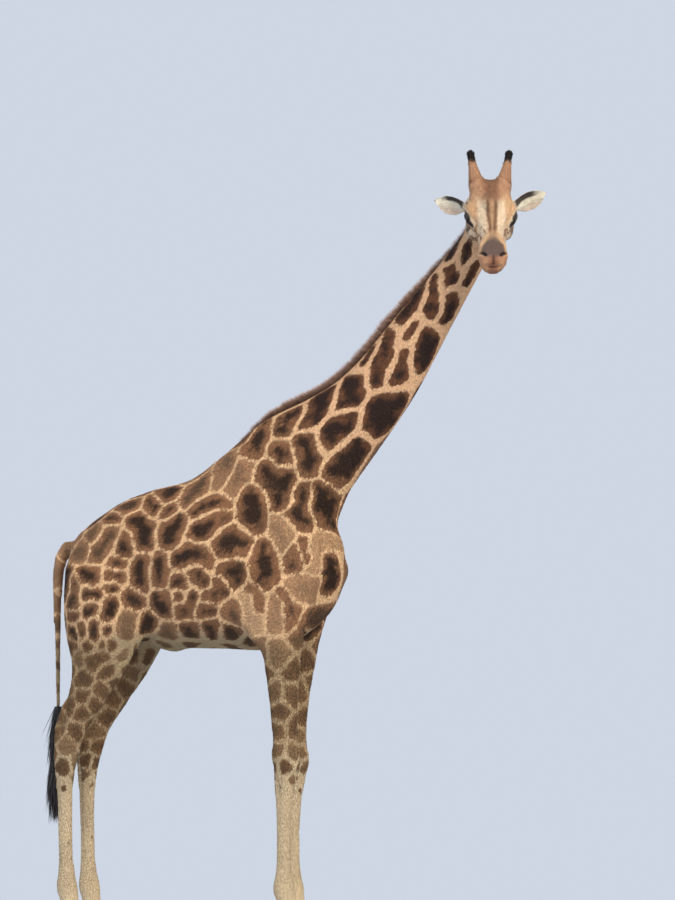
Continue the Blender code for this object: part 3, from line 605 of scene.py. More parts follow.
@dataclass
class Skin:
    """The one skin of the head, neck, trunk, legs, ears and tail."""

    body_voxel: float = 0.0172  # the size of a quad on the body
    head_voxel: float = 0.0046  # the size of a quad on the head and ears
    cut: float = -0.26  # how far up the neck from the skull's joint head and body are joined
    coat_depth: float = 0.006  # how far the skin lies inside the coat on the body
    face_depth: float = 0.0028  # the same on the face, ears and feet
    body_rounds: int = 42  # how often the body is smoothed
    head_rounds: int = 22  # the same for the head
    nose_rounds: int = 70  # the same again for the bridge of the nose
    neck_rounds: int = 140  # the same for the throat, once head and body are one
    join_rounds: int = 12  # the same for the seam between them
    join_gap: float = 0.010  # how far head and body end from the cut before they are bridged
    swell: float = 0.001  # how far each CAD node grows so that neighbours overlap
    neck_reach: float = 0.24  # the neck lies this near its line, and the muzzle does not
    nose_ahead: Span = (0.12, 0.18)  # the bridge of the nose starts here, in the head's frame
    nose_up: Span = (-0.03, 0.02)  # and here
    join_reach: Span = (0.05, 0.02)  # the seam is smoothed this far above and below the cut
    throat_back: Span = (-0.03, -0.09)  # the throat is smoothed this far behind the plane from nape to throat
    throat_up: Span = (-0.10, -0.02)  # and up to this far below the cut
    coronet: float = 0.008  # how far the legs widen over the hooves
    coronet_height: Span = (0.20, 0.13)  # where they widen
    head_back: float = 0.05  # the head's forms reach this far behind that plane
    leg_reach: float = 0.15  # a leg's forms reach this far inwards of its middle
    lids: Eyelids = field(default_factory=Eyelids)

    def flesh(self) -> list[str]:
        """The CAD nodes that the skin stands for."""
        legs = [
            f"{leg}_{side.word}_{part}"
            for leg in ("foreleg", "hindleg")
            for side in Side
            for part in ("upper", "lower")
        ]
        neck = ["neck_lower", "neck_middle", "neck_upper"]
        return ["head", "trunk", "tail", "ear_left", "ear_right", *neck, *legs]

    def neck_place(self, points: Points) -> tuple[Points, Points]:
        """How far places lie above the cut through the upper neck, and how far from the neck's line."""
        way = BODY.neck_top_way()
        local = points - HEAD.pivot
        along = local @ way
        return along - self.cut, np.linalg.norm(local - along[:, None] * way, axis=1)

    def halved(self, mesh: bpy.types.Mesh, offset: float, keep_head: bool) -> bmesh.types.BMesh:
        """One side of a cut across the upper neck.

        Args:
            mesh: the mesh to cut; it is removed.
            offset: how far up the neck the cut is moved.
            keep_head: whether the head's side stays.

        Returns:
            The open half.
        """
        half = bmesh.new()
        half.from_mesh(mesh)
        bpy.data.meshes.remove(mesh)
        points = np.array([vertex.co for vertex in half.verts])
        _, aside = self.neck_place(points)
        # Dictionaries, unlike sets, keep the mesh's order, so each run cuts in the same order.
        near = dict.fromkeys(v for v, is_near in zip(half.verts, aside < self.neck_reach) if is_near)
        faces = [face for face in half.faces if all(v in near for v in face.verts)]
        edges = dict.fromkeys(edge for face in faces for edge in face.edges)
        way = BODY.neck_top_way()
        bmesh.ops.bisect_plane(
            half,
            geom=[*near, *edges, *faces],
            plane_co=HEAD.pivot + way * (self.cut + offset),
            plane_no=way,
            clear_inner=keep_head,
            clear_outer=not keep_head,
        )
        return half

    def form(self) -> bpy.types.Mesh:
        """Head and body at their own fineness, joined in one closed surface.

        Returns:
            The plain form, before anything is raised on it.
        """
        head_parts = ["head", "ear_left", "ear_right", "neck_upper", "eye_left", "eye_right"]
        fine = remeshed(merged(head_parts, self.swell), self.head_voxel)
        relaxed(fine, self.head_rounds)
        ahead, _, up = HEAD.inside(coordinates(fine)).T
        relaxed(fine, self.nose_rounds, step(*self.nose_ahead, ahead) * step(*self.nose_up, up))
        body_parts = [node for node in self.flesh() if not node.startswith(("ear", "head"))]
        coarse = remeshed(merged(body_parts, self.swell), self.body_voxel)
        relaxed(coarse, self.body_rounds)
        head = self.halved(fine, self.join_gap, True)
        body = self.halved(coarse, -self.join_gap, False)
        half = as_mesh(head, "half")
        body.from_mesh(half)
        bpy.data.meshes.remove(half)
        rims = [edge for edge in body.edges if edge.is_boundary]
        bmesh.ops.bridge_loops(body, edges=rims)
        bmesh.ops.triangulate(body, faces=[f for f in body.faces if len(f.verts) > 4])
        bmesh.ops.recalc_face_normals(body, faces=body.faces)
        whole = as_mesh(body, "skin")
        points = coordinates(whole)
        above, aside = self.neck_place(points)
        near = step(*self.join_reach, np.abs(above)) * (aside < self.neck_reach)
        relaxed(whole, self.join_rounds, near)
        throat = step(*self.throat_back, HEAD.beyond_throat(points)) * step(*self.throat_up, above)
        relaxed(whole, self.neck_rounds, throat * (aside < self.neck_reach))
        return whole

    def sculpt(self, mesh: bpy.types.Mesh) -> None:
        """Raises bones, muscles, folds, lids, nostrils and lips.

        Args:
            mesh: the plain form, changed in place.
        """
        points = coordinates(mesh)
        normals = normals_of(mesh)
        local = BODY.inside(points)
        rise = both_sides([*BODY_FORMS, *RIBS], local)
        for side in Side:
            own = local * (1, side, 1) - (0, LEG_MIDDLE, 0)
            on_side = own[:, 1] > -self.leg_reach
            fore = own.copy()
            if side == Side.LEFT:
                fore[:, 0] += STEP_BACK * (1 - np.clip(local[:, 2] / STEP_HEIGHT, 0, 1))
            for forms, places in ((FORELEG_FORMS, fore), (HINDLEG_FORMS, own)):
                rise += np.where(on_side, sum(form.rise(places) for form in forms), 0.0)
        rise += self.coronet * step(*self.coronet_height, local[:, 2])
        face = HEAD.inside(points)
        on_head = HEAD.beyond_throat(points) > -self.head_back
        rise += np.where(on_head, both_sides(HEAD_FORMS, face, HEAD_OVERLAP), 0.0)
        for line, radius, height in (MOUTH, NOSTRIL_RIM, NOSTRIL_SLIT):
            rise += np.where(on_head, strongest(chain(line, radius, height), face), 0.0)
        points += normals * rise[:, None]
        lidded = HEAD.outside(self.lids.shape(HEAD.inside(points)))
        put(mesh, np.where(on_head[:, None], lidded, points))


# ---------------------------------------------------------------- markings
class Tint:
    """The coat's colours."""

    NECK_GROUND = paint(228, 184, 142)
    TRUNK_GROUND = paint(240, 198, 150)
    # painted shade: the belly's ground is darker than the trunk's, for the shade on the underside
    BELLY_GROUND = paint(190, 166, 128)
    LEG_GROUND = paint(188, 158, 118)
    STOCKING = paint(212, 188, 150)
    NECK_PATCH = paint(116, 74, 48)
    NECK_HEART = paint(44, 28, 22)
    TRUNK_PATCH = paint(154, 108, 74)
    TRUNK_HEART = paint(48, 31, 20)
    LEG_PATCH = paint(138, 104, 70)
    MANE = paint(150, 112, 88)
    FOREHEAD = paint(132, 92, 66)
    HORN_TAN = paint(178, 134, 102)
    FACE_CREAM = paint(226, 203, 172)
    FACE_TAN = paint(200, 160, 120)
    NOSE_GREY = paint(92, 74, 66)
    LIP_TAN = paint(178, 132, 98)
    CHIN_RED = paint(138, 88, 64)
    DARK = paint(42, 32, 30)
    SPOT = paint(144, 110, 84)
    EAR_CREAM = paint(226, 218, 196)
    EAR_RIM = paint(196, 160, 146)
    # painted shade in the groove between the lips
    MOUTH = paint(84, 56, 46)


@dataclass(frozen=True)
class Reach:
    """How strongly a place of the body belongs to each of its parts, from 0 to 1."""

    neck: Points
    upper_neck: Points
    rump: Points
    thigh: Points
    shoulder: Points
    leg: Points
    low: Points
    belly: Points
    head: Points


def reach_of(points: Points) -> Reach:
    """The parts of the body that each world place belongs to.

    Args:
        points: rows of world places.

    Returns:
        A weight for each part and place.
    """
    local = BODY.inside(points)
    fore, _, height = local.T
    up = BODY.along_neck(points)
    neck = step(-0.30, 0.02, up) * step(0.90, 1.20, fore)
    leg = step(1.82, 1.60, height)
    hind = step(0.75, 0.50, fore)
    return Reach(
        neck=neck,
        upper_neck=step(0.15, 0.75, up) * neck,
        rump=hind * step(0.62, 0.36, fore) * step(1.95, 2.15, height),
        thigh=hind * step(2.12, 1.84, height),
        shoulder=step(0.80, 1.05, fore) * (1 - neck) * step(1.80, 2.00, height),
        leg=leg,
        low=step(1.16, 0.96, height),
        belly=step(1.80, 1.71, height) * step(0.30, 0.42, fore) * step(1.22, 1.10, fore),
        head=step(-0.02, 0.02, HEAD.beyond_throat(points)),
    )


@dataclass(frozen=True)
class Patch:
    """One patch of the right side, which grows round a line."""

    line: tuple[Span, ...]  # the line's corners, each as metres forward and metres up in the body's frame
    tone: float = 0.0  # 1 for a dark patch, -1 for a faded one, -3 for bare ground
    reach: float = 0.2  # how far from its line it spreads at most


# The right side's patches: down the neck, then back over shoulder and barrel to the buttock.
NECK_PATCHES = (
    Patch(((2.33, 4.07), (2.295, 3.96)), 0.8, 0.044),
    Patch(((2.405, 3.98), (2.425, 3.905)), 1.0, 0.038),
    Patch(((2.48, 3.845), (2.45, 3.77)), 1.0, 0.036),
    Patch(((2.30, 3.865), (2.335, 3.79), (2.375, 3.80), (2.335, 3.88)), 0.8, 0.075),
    Patch(((2.205, 3.79), (2.23, 3.68), (2.265, 3.61)), 0.4, 0.080),
    Patch(((2.36, 3.68), (2.325, 3.595)), 0.8, 0.068),
    Patch(((2.13, 3.75), (2.025, 3.585)), 0.5, 0.074),
    Patch(((2.11, 3.535), (2.07, 3.49)), 0.3, 0.034),
    Patch(((2.20, 3.46), (2.165, 3.33)), 0.9, 0.098),
    Patch(((1.945, 3.49), (1.885, 3.37), (1.905, 3.275), (1.955, 3.38)), 0.3, 0.100),
    Patch(((2.075, 3.34), (2.055, 3.24)), 0.4, 0.076),
    Patch(((1.825, 3.41), (1.80, 3.355)), 0.1, 0.034),
    Patch(((1.75, 3.23), (1.725, 3.12)), 0.4, 0.110),
    Patch(((2.00, 3.07), (1.93, 3.02), (1.94, 2.97)), 0.6, 0.118),
    Patch(((1.735, 3.00), (1.675, 2.915)), 0.7, 0.105),
    Patch(((1.555, 3.12), (1.50, 3.02)), 0.7, 0.110),
    Patch(((1.785, 2.785), (1.675, 2.66)), 0.8, 0.110),
    Patch(((1.495, 2.885), (1.545, 2.71)), 0.9, 0.115),
    Patch(((1.375, 3.02), (1.31, 2.95)), 0.4, 0.110),
)
SHOULDER_PATCHES = (
    Patch(((1.21, 2.93), (1.14, 2.84)), 0.0),
    Patch(((1.31, 2.85), (1.38, 2.78)), 0.3),
    Patch(((1.24, 2.71), (1.38, 2.66), (1.38, 2.53)), 0.7),
    Patch(((1.50, 2.54), (1.45, 2.47), (1.535, 2.40)), 0.9),
    Patch(((1.60, 2.56), (1.61, 2.39)), 1.0),
    Patch(((1.145, 2.57), (1.235, 2.41)), 0.2),
    Patch(((1.36, 2.40), (1.40, 2.305)), -0.9),
    Patch(((1.42, 2.25), (1.445, 2.155)), -0.1),
    Patch(((1.53, 2.28), (1.545, 2.215)), 0.1),
    Patch(((1.645, 2.18), (1.645, 2.04)), 0.8, 0.100),
    Patch(((1.605, 2.34), (1.59, 2.16)), -1.3),
    # at the elbow: a patch faded nearly to ground, a painted highlight where the fold shines
    Patch(((1.18, 1.93), (1.17, 1.82)), -1.7),
    Patch(((1.50, 2.03), (1.59, 2.03)), -0.8),
    Patch(((1.28, 2.25), (1.295, 2.065)), 0.2),
    Patch(((1.235, 1.97), (1.235, 1.88)), -0.1),
    Patch(((1.345, 1.935), (1.355, 1.83)), -0.8),
    Patch(((1.415, 1.95), (1.46, 1.83)), -0.1),
    Patch(((1.55, 1.80), (1.53, 1.73)), -0.2),
)
BARREL_PATCHES = (
    Patch(((0.99, 2.77), (0.94, 2.655)), -0.5),
    Patch(((1.12, 2.745), (1.03, 2.62)), -0.5),
    Patch(((0.85, 2.64), (0.755, 2.54)), -0.2),
    Patch(((0.98, 2.54), (0.83, 2.50)), 0.1),
    Patch(((0.98, 2.45), (0.86, 2.37)), 0.3),
    Patch(((1.04, 2.26), (1.07, 2.34), (1.16, 2.30)), 0.4),
    Patch(((0.76, 2.20), (0.84, 2.24), (0.915, 2.20)), 0.4),
    Patch(((0.84, 2.105), (0.92, 2.065)), 0.7),
    Patch(((0.625, 2.19), (0.65, 2.04)), 0.1),
    Patch(((0.735, 2.07), (0.785, 2.025)), 0.7),
    Patch(((1.06, 2.145), (1.125, 2.085)), 0.8),
    Patch(((1.00, 2.02), (0.945, 1.95)), 0.6),
    Patch(((0.845, 1.95), (0.80, 1.88)), 0.3),
    Patch(((0.91, 1.88),), 0.0),
    Patch(((0.65, 1.95), (0.64, 1.89)), 0.0),
    Patch(((0.745, 1.965),), 0.0),
    Patch(((1.075, 1.85),), -0.2),
    Patch(((0.80, 1.74),), 0.7),
    Patch(((0.955, 1.755),), 0.7),
    Patch(((1.05, 1.735),), 0.9),
)
RUMP_PATCHES = (
    Patch(((0.30, 2.35), (0.22, 2.24)), -0.2),
    Patch(((0.32, 2.46),), 0.0),
    Patch(((0.40, 2.51),), -0.1),
    Patch(((0.545, 2.515),), 0.1),
    Patch(((0.615, 2.57),), 0.0),
    Patch(((0.65, 2.495),), 0.1),
    Patch(((0.72, 2.44), (0.66, 2.31)), 0.2),
    Patch(((0.485, 2.44), (0.52, 2.29)), 0.3),
    Patch(((0.395, 2.31), (0.43, 2.25)), 0.4),
    Patch(((0.20, 2.37),), -0.3),
    Patch(((0.115, 2.25),), -0.4),
    Patch(((0.50, 2.18), (0.495, 2.075)), 0.0),
    Patch(((0.35, 2.18),), 0.0),
    Patch(((0.165, 2.12), (0.25, 2.10)), 0.0),
    Patch(((0.345, 2.10), (0.39, 2.11)), 0.1),
    Patch(((0.365, 2.045),), 0.1),
    Patch(((0.18, 2.005), (0.26, 2.02)), 0.1),
    Patch(((0.08, 2.04), (0.08, 1.935)), -0.1),
    Patch(((0.015, 2.09), (0.015, 2.02)), 0.0),
    Patch(((0.48, 1.965),), 0.1),
    Patch(((0.455, 1.855), (0.44, 1.74)), -0.5),
    Patch(((0.235, 1.925), (0.20, 1.865)), 0.1),
    Patch(((0.37, 1.935), (0.335, 1.845)), 0.1),
    Patch(((0.085, 1.855),), 0.0),
    Patch(((0.25, 1.785), (0.23, 1.705)), 0.1),
    Patch(((0.325, 1.76),), 0.3),
    Patch(((0.275, 1.665),), 0.3),
    Patch(((0.36, 1.67),), 0.2),
    Patch(((0.20, 1.67),), 0.0),
    Patch(((0.22, 1.59), (0.30, 1.60)), 0.2),
    Patch(((0.14, 1.755),), 0.0),
    Patch(((0.075, 1.76),), 0.0),
)
RIGHT_PATCHES = NECK_PATCHES + SHOULDER_PATCHES + BARREL_PATCHES + RUMP_PATCHES


@dataclass
class Markings:
    """The net of patches: cells round seeds, parted by paler lines."""

    seed: int = 23  # fixes the scatter
    stretch: float = 0.30  # how much longer than wide the neck's patches are
    rounding: float = 0.0045  # how soft the patches' corners are
    wobble: float = 0.050  # how far the patches' outlines stray, as a share of their spacing
    neighbours: int = 14  # how many seeds are compared at each place
    tries: int = 9000  # how many places are tried as seeds
    pitch: float = 0.03  # how far apart the seeds on a patch's line are
    apart: float = 0.42  # how near another patch a scattered one may start, as a share of both spacings
    drawn_apart: float = 1.15  # how much further from a drawn patch
    beside: float = 0.03  # a drawn seed takes the outermost skin within this distance of its place
    beyond: float = 0.005  # or within this of the nearest skin
    chunk: int = 6000  # how many places are compared at once
    coarse: float = 0.17  # the size of the outlines' larger bends
    fine: float = 0.055  # the size of the smaller ones
    tones: Span = (-0.7, 0.7)  # the scattered patches' tones
    heart_depth: float = 0.30  # how deep inside the dark heart is complete, as a share of the spacing
    heart_from: float = 0.33  # how deep it starts, as a share of that
    heart_soft: float = 0.50  # over how much of that it deepens
    heart_noise: float = 0.50  # how much its outline is mottled
    heart_share: float = 0.94  # how dark it is
    fade: float = 0.34  # how much ground shows through a faded patch
    dusk: float = 0.22  # how much a dark patch's colour is deepened
    knee: Span = (0.96, 0.80)  # patches end between these heights
    inner_leg: Span = (0.13, 0.08)  # and between these distances from the middle plane

    def spacing(self, reach: Reach) -> Points:
        """How far apart patches lie.

        Args:
            reach: the parts that each place belongs to.

        Returns:
            The spacing at each place, in metres.
        """
        return settled(
            0.185,
            (0.225, reach.shoulder),
            (0.215, reach.neck),
            (0.190, reach.upper_neck),
            (0.150, reach.rump),
            (0.098, reach.thigh),
            (0.120, reach.leg * (1 - reach.thigh)),
            (0.075, reach.low),
        )

    def gap(self, reach: Reach) -> Points:
        """How wide the pale lines between patches are."""
        shin = reach.leg * (1 - reach.thigh)
        return settled(0.015, (0.025, reach.neck), (0.017, reach.thigh), (0.026, shin))

    def shortened(self, points: Points) -> Points:
        """Places with the neck pressed shorter, so that round cells there come out long."""
        up = np.maximum(BODY.along_neck(points) + 0.2, 0.0)
        return points - self.stretch * up[:, None] * BODY.neck_way()

    def strayed(self, points: Points, size: Points) -> Points:
        """Places moved by soft noise, which bends the outlines.

        Args:
            points: rows of world places.
            size: the patches' spacing at each.

        Returns:
            The pressed and moved places.
        """
        moves = np.stack(
            [
                wander(points, self.coarse, 11.0 * k) + 0.45 * wander(points, self.fine, 7.0 + 5.0 * k)
                for k in range(3)
            ],
            axis=1,
        )
        return self.shortened(points) + moves * (self.wobble * size)[:, None]

    def drawn(self, points: Points) -> tuple[Points, Points, Points]:
        """The right side's own patches.

        Args:
            points: rows of world places on the skin.

        Returns:
            The row of the skin's place nearest to each seed, each seed's patch and each seed's tone.
        """
        local = BODY.inside(points)
        rows, owners, tones = [], [], []
        for owner, patch in enumerate(RIGHT_PATCHES):
            corners = np.array(patch.line)
            spots = [corners[0]]
            for a, b in zip(corners, corners[1:]):
                count = max(1, round(float(np.linalg.norm(b - a)) / self.pitch))
                spots += [a + (b - a) * k / count for k in range(1, count + 1)]
            for spot in spots:
                away = np.hypot(local[:, 0] - spot[0], local[:, 2] - spot[1])
                near = np.flatnonzero(away < max(self.beside, away.min() + self.beyond))
                rows.append(near[local[near, 1].argmin()])
                owners.append(owner)
                tones.append(patch.tone)
        return np.array(rows), np.array(owners), np.array(tones)

    def seeds(self, points: Points, size: Points) -> tuple[Points, Points, Points]:
        """The drawn seeds, and scattered ones no closer than the local spacing everywhere else.

        Args:
            points: rows of world places on the skin.
            size: the spacing at each.

        Returns:
            The seeds' pressed places, the patch of each and the tone of each.
        """
        draw = np.random.default_rng(self.seed)
        pressed = self.shortened(points)
        rows, owners, tones = self.drawn(points)
        start = len(rows)
        chosen = np.empty((start + self.tries, 3))
        radii = np.empty(start + self.tries)
        chosen[:start], radii[:start] = pressed[rows], self.drawn_apart * size[rows]
        count = start
        for row in draw.permutation(len(points))[: self.tries]:
            away = np.linalg.norm(chosen[:count] - pressed[row], axis=1)
            if np.all(away > self.apart * (radii[:count] + size[row])):
                chosen[count], radii[count] = pressed[row], size[row]
                count += 1
        scattered = count - start
        owners = np.concatenate([owners, len(RIGHT_PATCHES) + np.arange(scattered)])
        return chosen[:count], owners, np.concatenate([tones, draw.uniform(*self.tones, scattered)])

    def cells(self, places: Points, seeds: Points, owners: Points) -> tuple[Points, Points, Points]:
        """The nearest seed at each place, and how the place lies in that seed's patch.

        Args:
            places: pressed and strayed places.
            seeds: the patches' seeds.
            owners: the patch of each seed.

        Returns:
            The seed's row, the distance to the patch's edge and that from the seed, for each place.
        """
        nearest = np.empty(len(places), int)
        inside = np.empty(len(places))
        away = np.empty(len(places))
        for start in range(0, len(places), self.chunk):
            now = slice(start, start + self.chunk)
            part = places[now]
            gaps = ((part[:, None, :] - seeds[None]) ** 2).sum(axis=2)
            near = np.argpartition(gaps, self.neighbours, axis=1)[:, : self.neighbours]
            ranked = np.take_along_axis(gaps, near, axis=1)
            order = ranked.argsort(axis=1)
            near = np.take_along_axis(near, order, axis=1)
            ranked = np.take_along_axis(ranked, order, axis=1)
            own = seeds[near[:, 0]]
            between = np.linalg.norm(seeds[near[:, 1:]] - own[:, None], axis=2)
            edges = (ranked[:, 1:] - ranked[:, :1]) / (2 * np.maximum(between, 1e-6))
            same = owners[near[:, 1:]] == owners[near[:, 0]][:, None]
            shares = np.where(same, 0.0, np.exp(-edges / self.rounding)).sum(axis=1)
            nearest[now] = near[:, 0]
            inside[now] = -self.rounding * np.log(np.maximum(shares, 1e-12))
            away[now] = np.sqrt(ranked[:, 0])
        return nearest, inside, away

    def ground(self, points: Points, reach: Reach) -> Points:
        """The coat's colour between the patches, on neck, trunk and legs.

        Args:
            points: rows of world places.
            reach: the parts that each place belongs to.

        Returns:
            A colour for each place.
        """
        return layered(
            repeated(Tint.TRUNK_GROUND, points),
            (Tint.NECK_GROUND, reach.neck),
            (Tint.LEG_GROUND, reach.leg),
            # the belly takes a darker ground as painted shade
            (Tint.BELLY_GROUND, reach.belly),
            (Tint.STOCKING, reach.low),
        )

    def spread(self, points: Points) -> tuple[Points, Points, Points]:
        """Ground colour, patch colour and distance inside a patch's edge, away from the head.

        Args:
            points: rows of world places.

        Returns:
            The two colours and the signed distance in metres.
        """
        reach = reach_of(points)
        size = self.spacing(reach)
        seeds, owners, tones = self.seeds(points, size)
        nearest, inside, away = self.cells(self.strayed(points, size), seeds, owners)
        limits = np.full(owners.max() + 1, Patch.reach)
        limits[: len(RIGHT_PATCHES)] = [patch.reach for patch in RIGHT_PATCHES]
        room = limits[owners[nearest]] - away
        soft = 2 * self.rounding
        edge = -soft * np.logaddexp(-(inside - self.gap(reach) / 2) / soft, -room / soft)
        local = BODY.inside(points)
        tone = tones[nearest]
        depth = np.clip(edge / (self.heart_depth * size), 0, 1)
        mottle = wander(points, 0.060, 3.0) + 0.6 * wander(points, 0.022, 9.0)
        start = self.heart_from - 0.15 * reach.neck
        heart = step(start, start + self.heart_soft, depth + self.heart_noise * mottle + 0.12 * tone)
        core = layered(
            repeated(Tint.TRUNK_HEART, points),
            (Tint.NECK_HEART, reach.neck),
            (Tint.LEG_PATCH * 0.7, reach.leg),
        )
        ground = self.ground(points, reach)
        pale = np.maximum(-tone, 0)
        patch = layered(
            repeated(Tint.TRUNK_PATCH, points),
            (Tint.NECK_PATCH, reach.neck),
            (Tint.LEG_PATCH, np.maximum(reach.leg, 0.35 * reach.thigh)),
            (core, heart * self.heart_share * np.maximum(1 - 0.8 * pale, 0)),
            (ground, np.minimum(self.fade * pale, 1.0)),
        )
        patch *= (1 - self.dusk * np.clip(tone, 0, 1))[:, None]
        faded = step(*self.knee, local[:, 2]) + 0.35 * reach.belly
        inner = step(*self.inner_leg, np.abs(local[:, 1])) * reach.leg
        edge = edge - 0.03 * np.clip(faded + inner, 0, 1)
        return ground, patch, edge


@dataclass
class FacePaint:
    """The face's own markings, in the head's frame."""

    spot_pitch: float = 0.030  # the size of the cheek's spots
    spot_share: float = 0.08  # how much noise a spot needs

    def ground(self, face: Points, plain: Points, lids: Eyelids) -> Points:
        """The face's colours.

        Args:
            face: places in the head's frame.
            plain: the same places before nostrils, mouth and folds were sunk.
            lids: the eyelids, whose margins are dark.

        Returns:
            A colour for each place.
        """
        ahead, left, up = face.T
        aside = np.abs(left) + 0.004 * wander(face, 0.02, 4.0)
        soft = aside + 0.010 * wander(face, 0.045, 14.0)
        cheek = step(0.050, 0.085, aside) * step(0.32, 0.22, ahead) * step(0.09, 0.04, up)
        crown = step(0.06, 0.10, up) * step(0.21, 0.08, ahead + 0.6 * (soft - 0.06))
        brow = step(0.075, 0.015, soft) * step(0.30, 0.20, ahead) * step(0.06, 0.09, up)
        before_nose = step(0.46, 0.38, ahead)
        bridge = step(0.18, 0.25, ahead) * before_nose
        stripe_edge = 0.024 - 0.010 * step(0.26, 0.38, ahead)
        band = step(0.018, 0.040, aside) * step(0.16, 0.24, ahead + 1.5 * (aside - 0.05))
        line = np.exp(-(((aside - stripe_edge) / 0.0110) ** 2)) * bridge * step(0.17, 0.24, ahead)
        nose = step(0.410, 0.500, ahead + 0.4 * (0.03 - aside)) * step(-0.030, 0.000, up)
        wide = 0.022 + 0.044 * step(0.43, 0.54, ahead)
        lips = step(0.520, 0.560, ahead + 0.5 * np.maximum(-up, 0)) * step(0.030, 0.000, up)
        lips = np.maximum(lips, step(0.430, 0.480, ahead) * step(-0.040, -0.065, up))
        mouth_shade = strongest(chain(MOUTH_LINE, 0.007), plain)
        # painted shade: a dark line down the middle between the nostrils
        philtrum_shade = Ridge((0.580, 0.0, 0.034), (0.600, 0.0, -0.020), 0.013).rise(face)
        # painted shade inside the nostrils' slits
        nostril_shade = strongest(chain(NOSTRIL_LINE, 0.010), plain)
        colour = layered(
            repeated(Tint.FACE_TAN, face),
            (Tint.FACE_CREAM, cheek * 0.8),
            (Tint.HORN_TAN, crown),
            (Tint.FOREHEAD, brow * 0.95),
            (Tint.FACE_CREAM, 0.85 * before_nose * band * step(0.094, 0.068, aside)),
            (Tint.FACE_TAN * 0.80, bridge * step(stripe_edge, stripe_edge * 0.5, aside)),
            (Tint.FOREHEAD * 0.50, 0.85 * line),
            (Tint.NOSE_GREY, nose * step(wide + 0.018, wide - 0.010, aside)),
            (Tint.LIP_TAN, lips),
            (Tint.CHIN_RED, 0.8 * lips * step(0.040, 0.015, aside)),
            # painted shade along the mouth's groove
            (Tint.MOUTH, 0.85 * step(0.35, 0.85, mouth_shade)),
            (Tint.DARK, 0.7 * step(0.3, 0.8, philtrum_shade)),
            (Tint.DARK, step(0.30, 0.75, nostril_shade)),
        )
        for side in Side:
            colour = self.eye_rim(colour, face, lids, side)
        return colour

    def eye_rim(self, colour: Points, face: Points, lids: Eyelids, side: Side) -> Points:
        """The dark lids of one eye, with a streak of painted shade that runs down behind it.

        Args:
            colour: the colours so far.
            face: places in the head's frame.
            lids: the eyelids.
            side: which eye.

        Returns:
            A colour for each place.
        """
        local = (face - lids.middle(side)) @ lids.axes(side).T
        outwards = step(-0.012, 0.0, local[:, 2])
        ahead = np.where(local[:, 0] > 0, 0.55, 1.0)
        margin = lids.opening(np.stack([local[:, 0] * ahead, local[:, 1], local[:, 2]], axis=1))
        # painted shade: a dark streak down behind the eye, where the cheek meets the neck
        shade_streak = Ridge((0.180, 0.126 * side, 0.030), (0.140, 0.126 * side, -0.095), 0.020)
        strength = shade_streak.rise(face) + 0.25 * wander(face, 0.018, 12.0)
        return layered(
            colour,
            (Tint.FACE_CREAM, outwards * step(3.0, 2.2, margin) * 0.7),
            (Tint.DARK, outwards * step(2.15, 1.55, margin + 0.25 * wander(face, 0.016, 6.0))),
            (Tint.DARK, 0.85 * step(0.30, 0.60, strength)),
        )

    def spots(self, face: Points) -> Points:
        """Distance-like measure of the cheek's spots, positive inside one.

        Args:
            face: places in the head's frame.

        Returns:
            The measure for each place.
        """
        ahead, left, up = face.T
        aside = np.abs(left) + 0.12 * np.maximum(ahead - 0.26, 0)
        inner = 0.045 - 0.018 * step(0.26, 0.34, ahead) * (left < 0)
        top = 0.060 + 0.035 * step(0.22, 0.28, ahead) * (left < 0)
        cheek = step(inner, inner + 0.022, aside) * step(0.47, 0.42, ahead) * step(top, top - 0.03, up)
        blotches = wander(face, self.spot_pitch, 21.0) + 0.4 * wander(face, self.spot_pitch / 2, 5.0)
        return (blotches - self.spot_share) * self.spot_pitch * 1.3 - 0.08 * (1 - cheek)


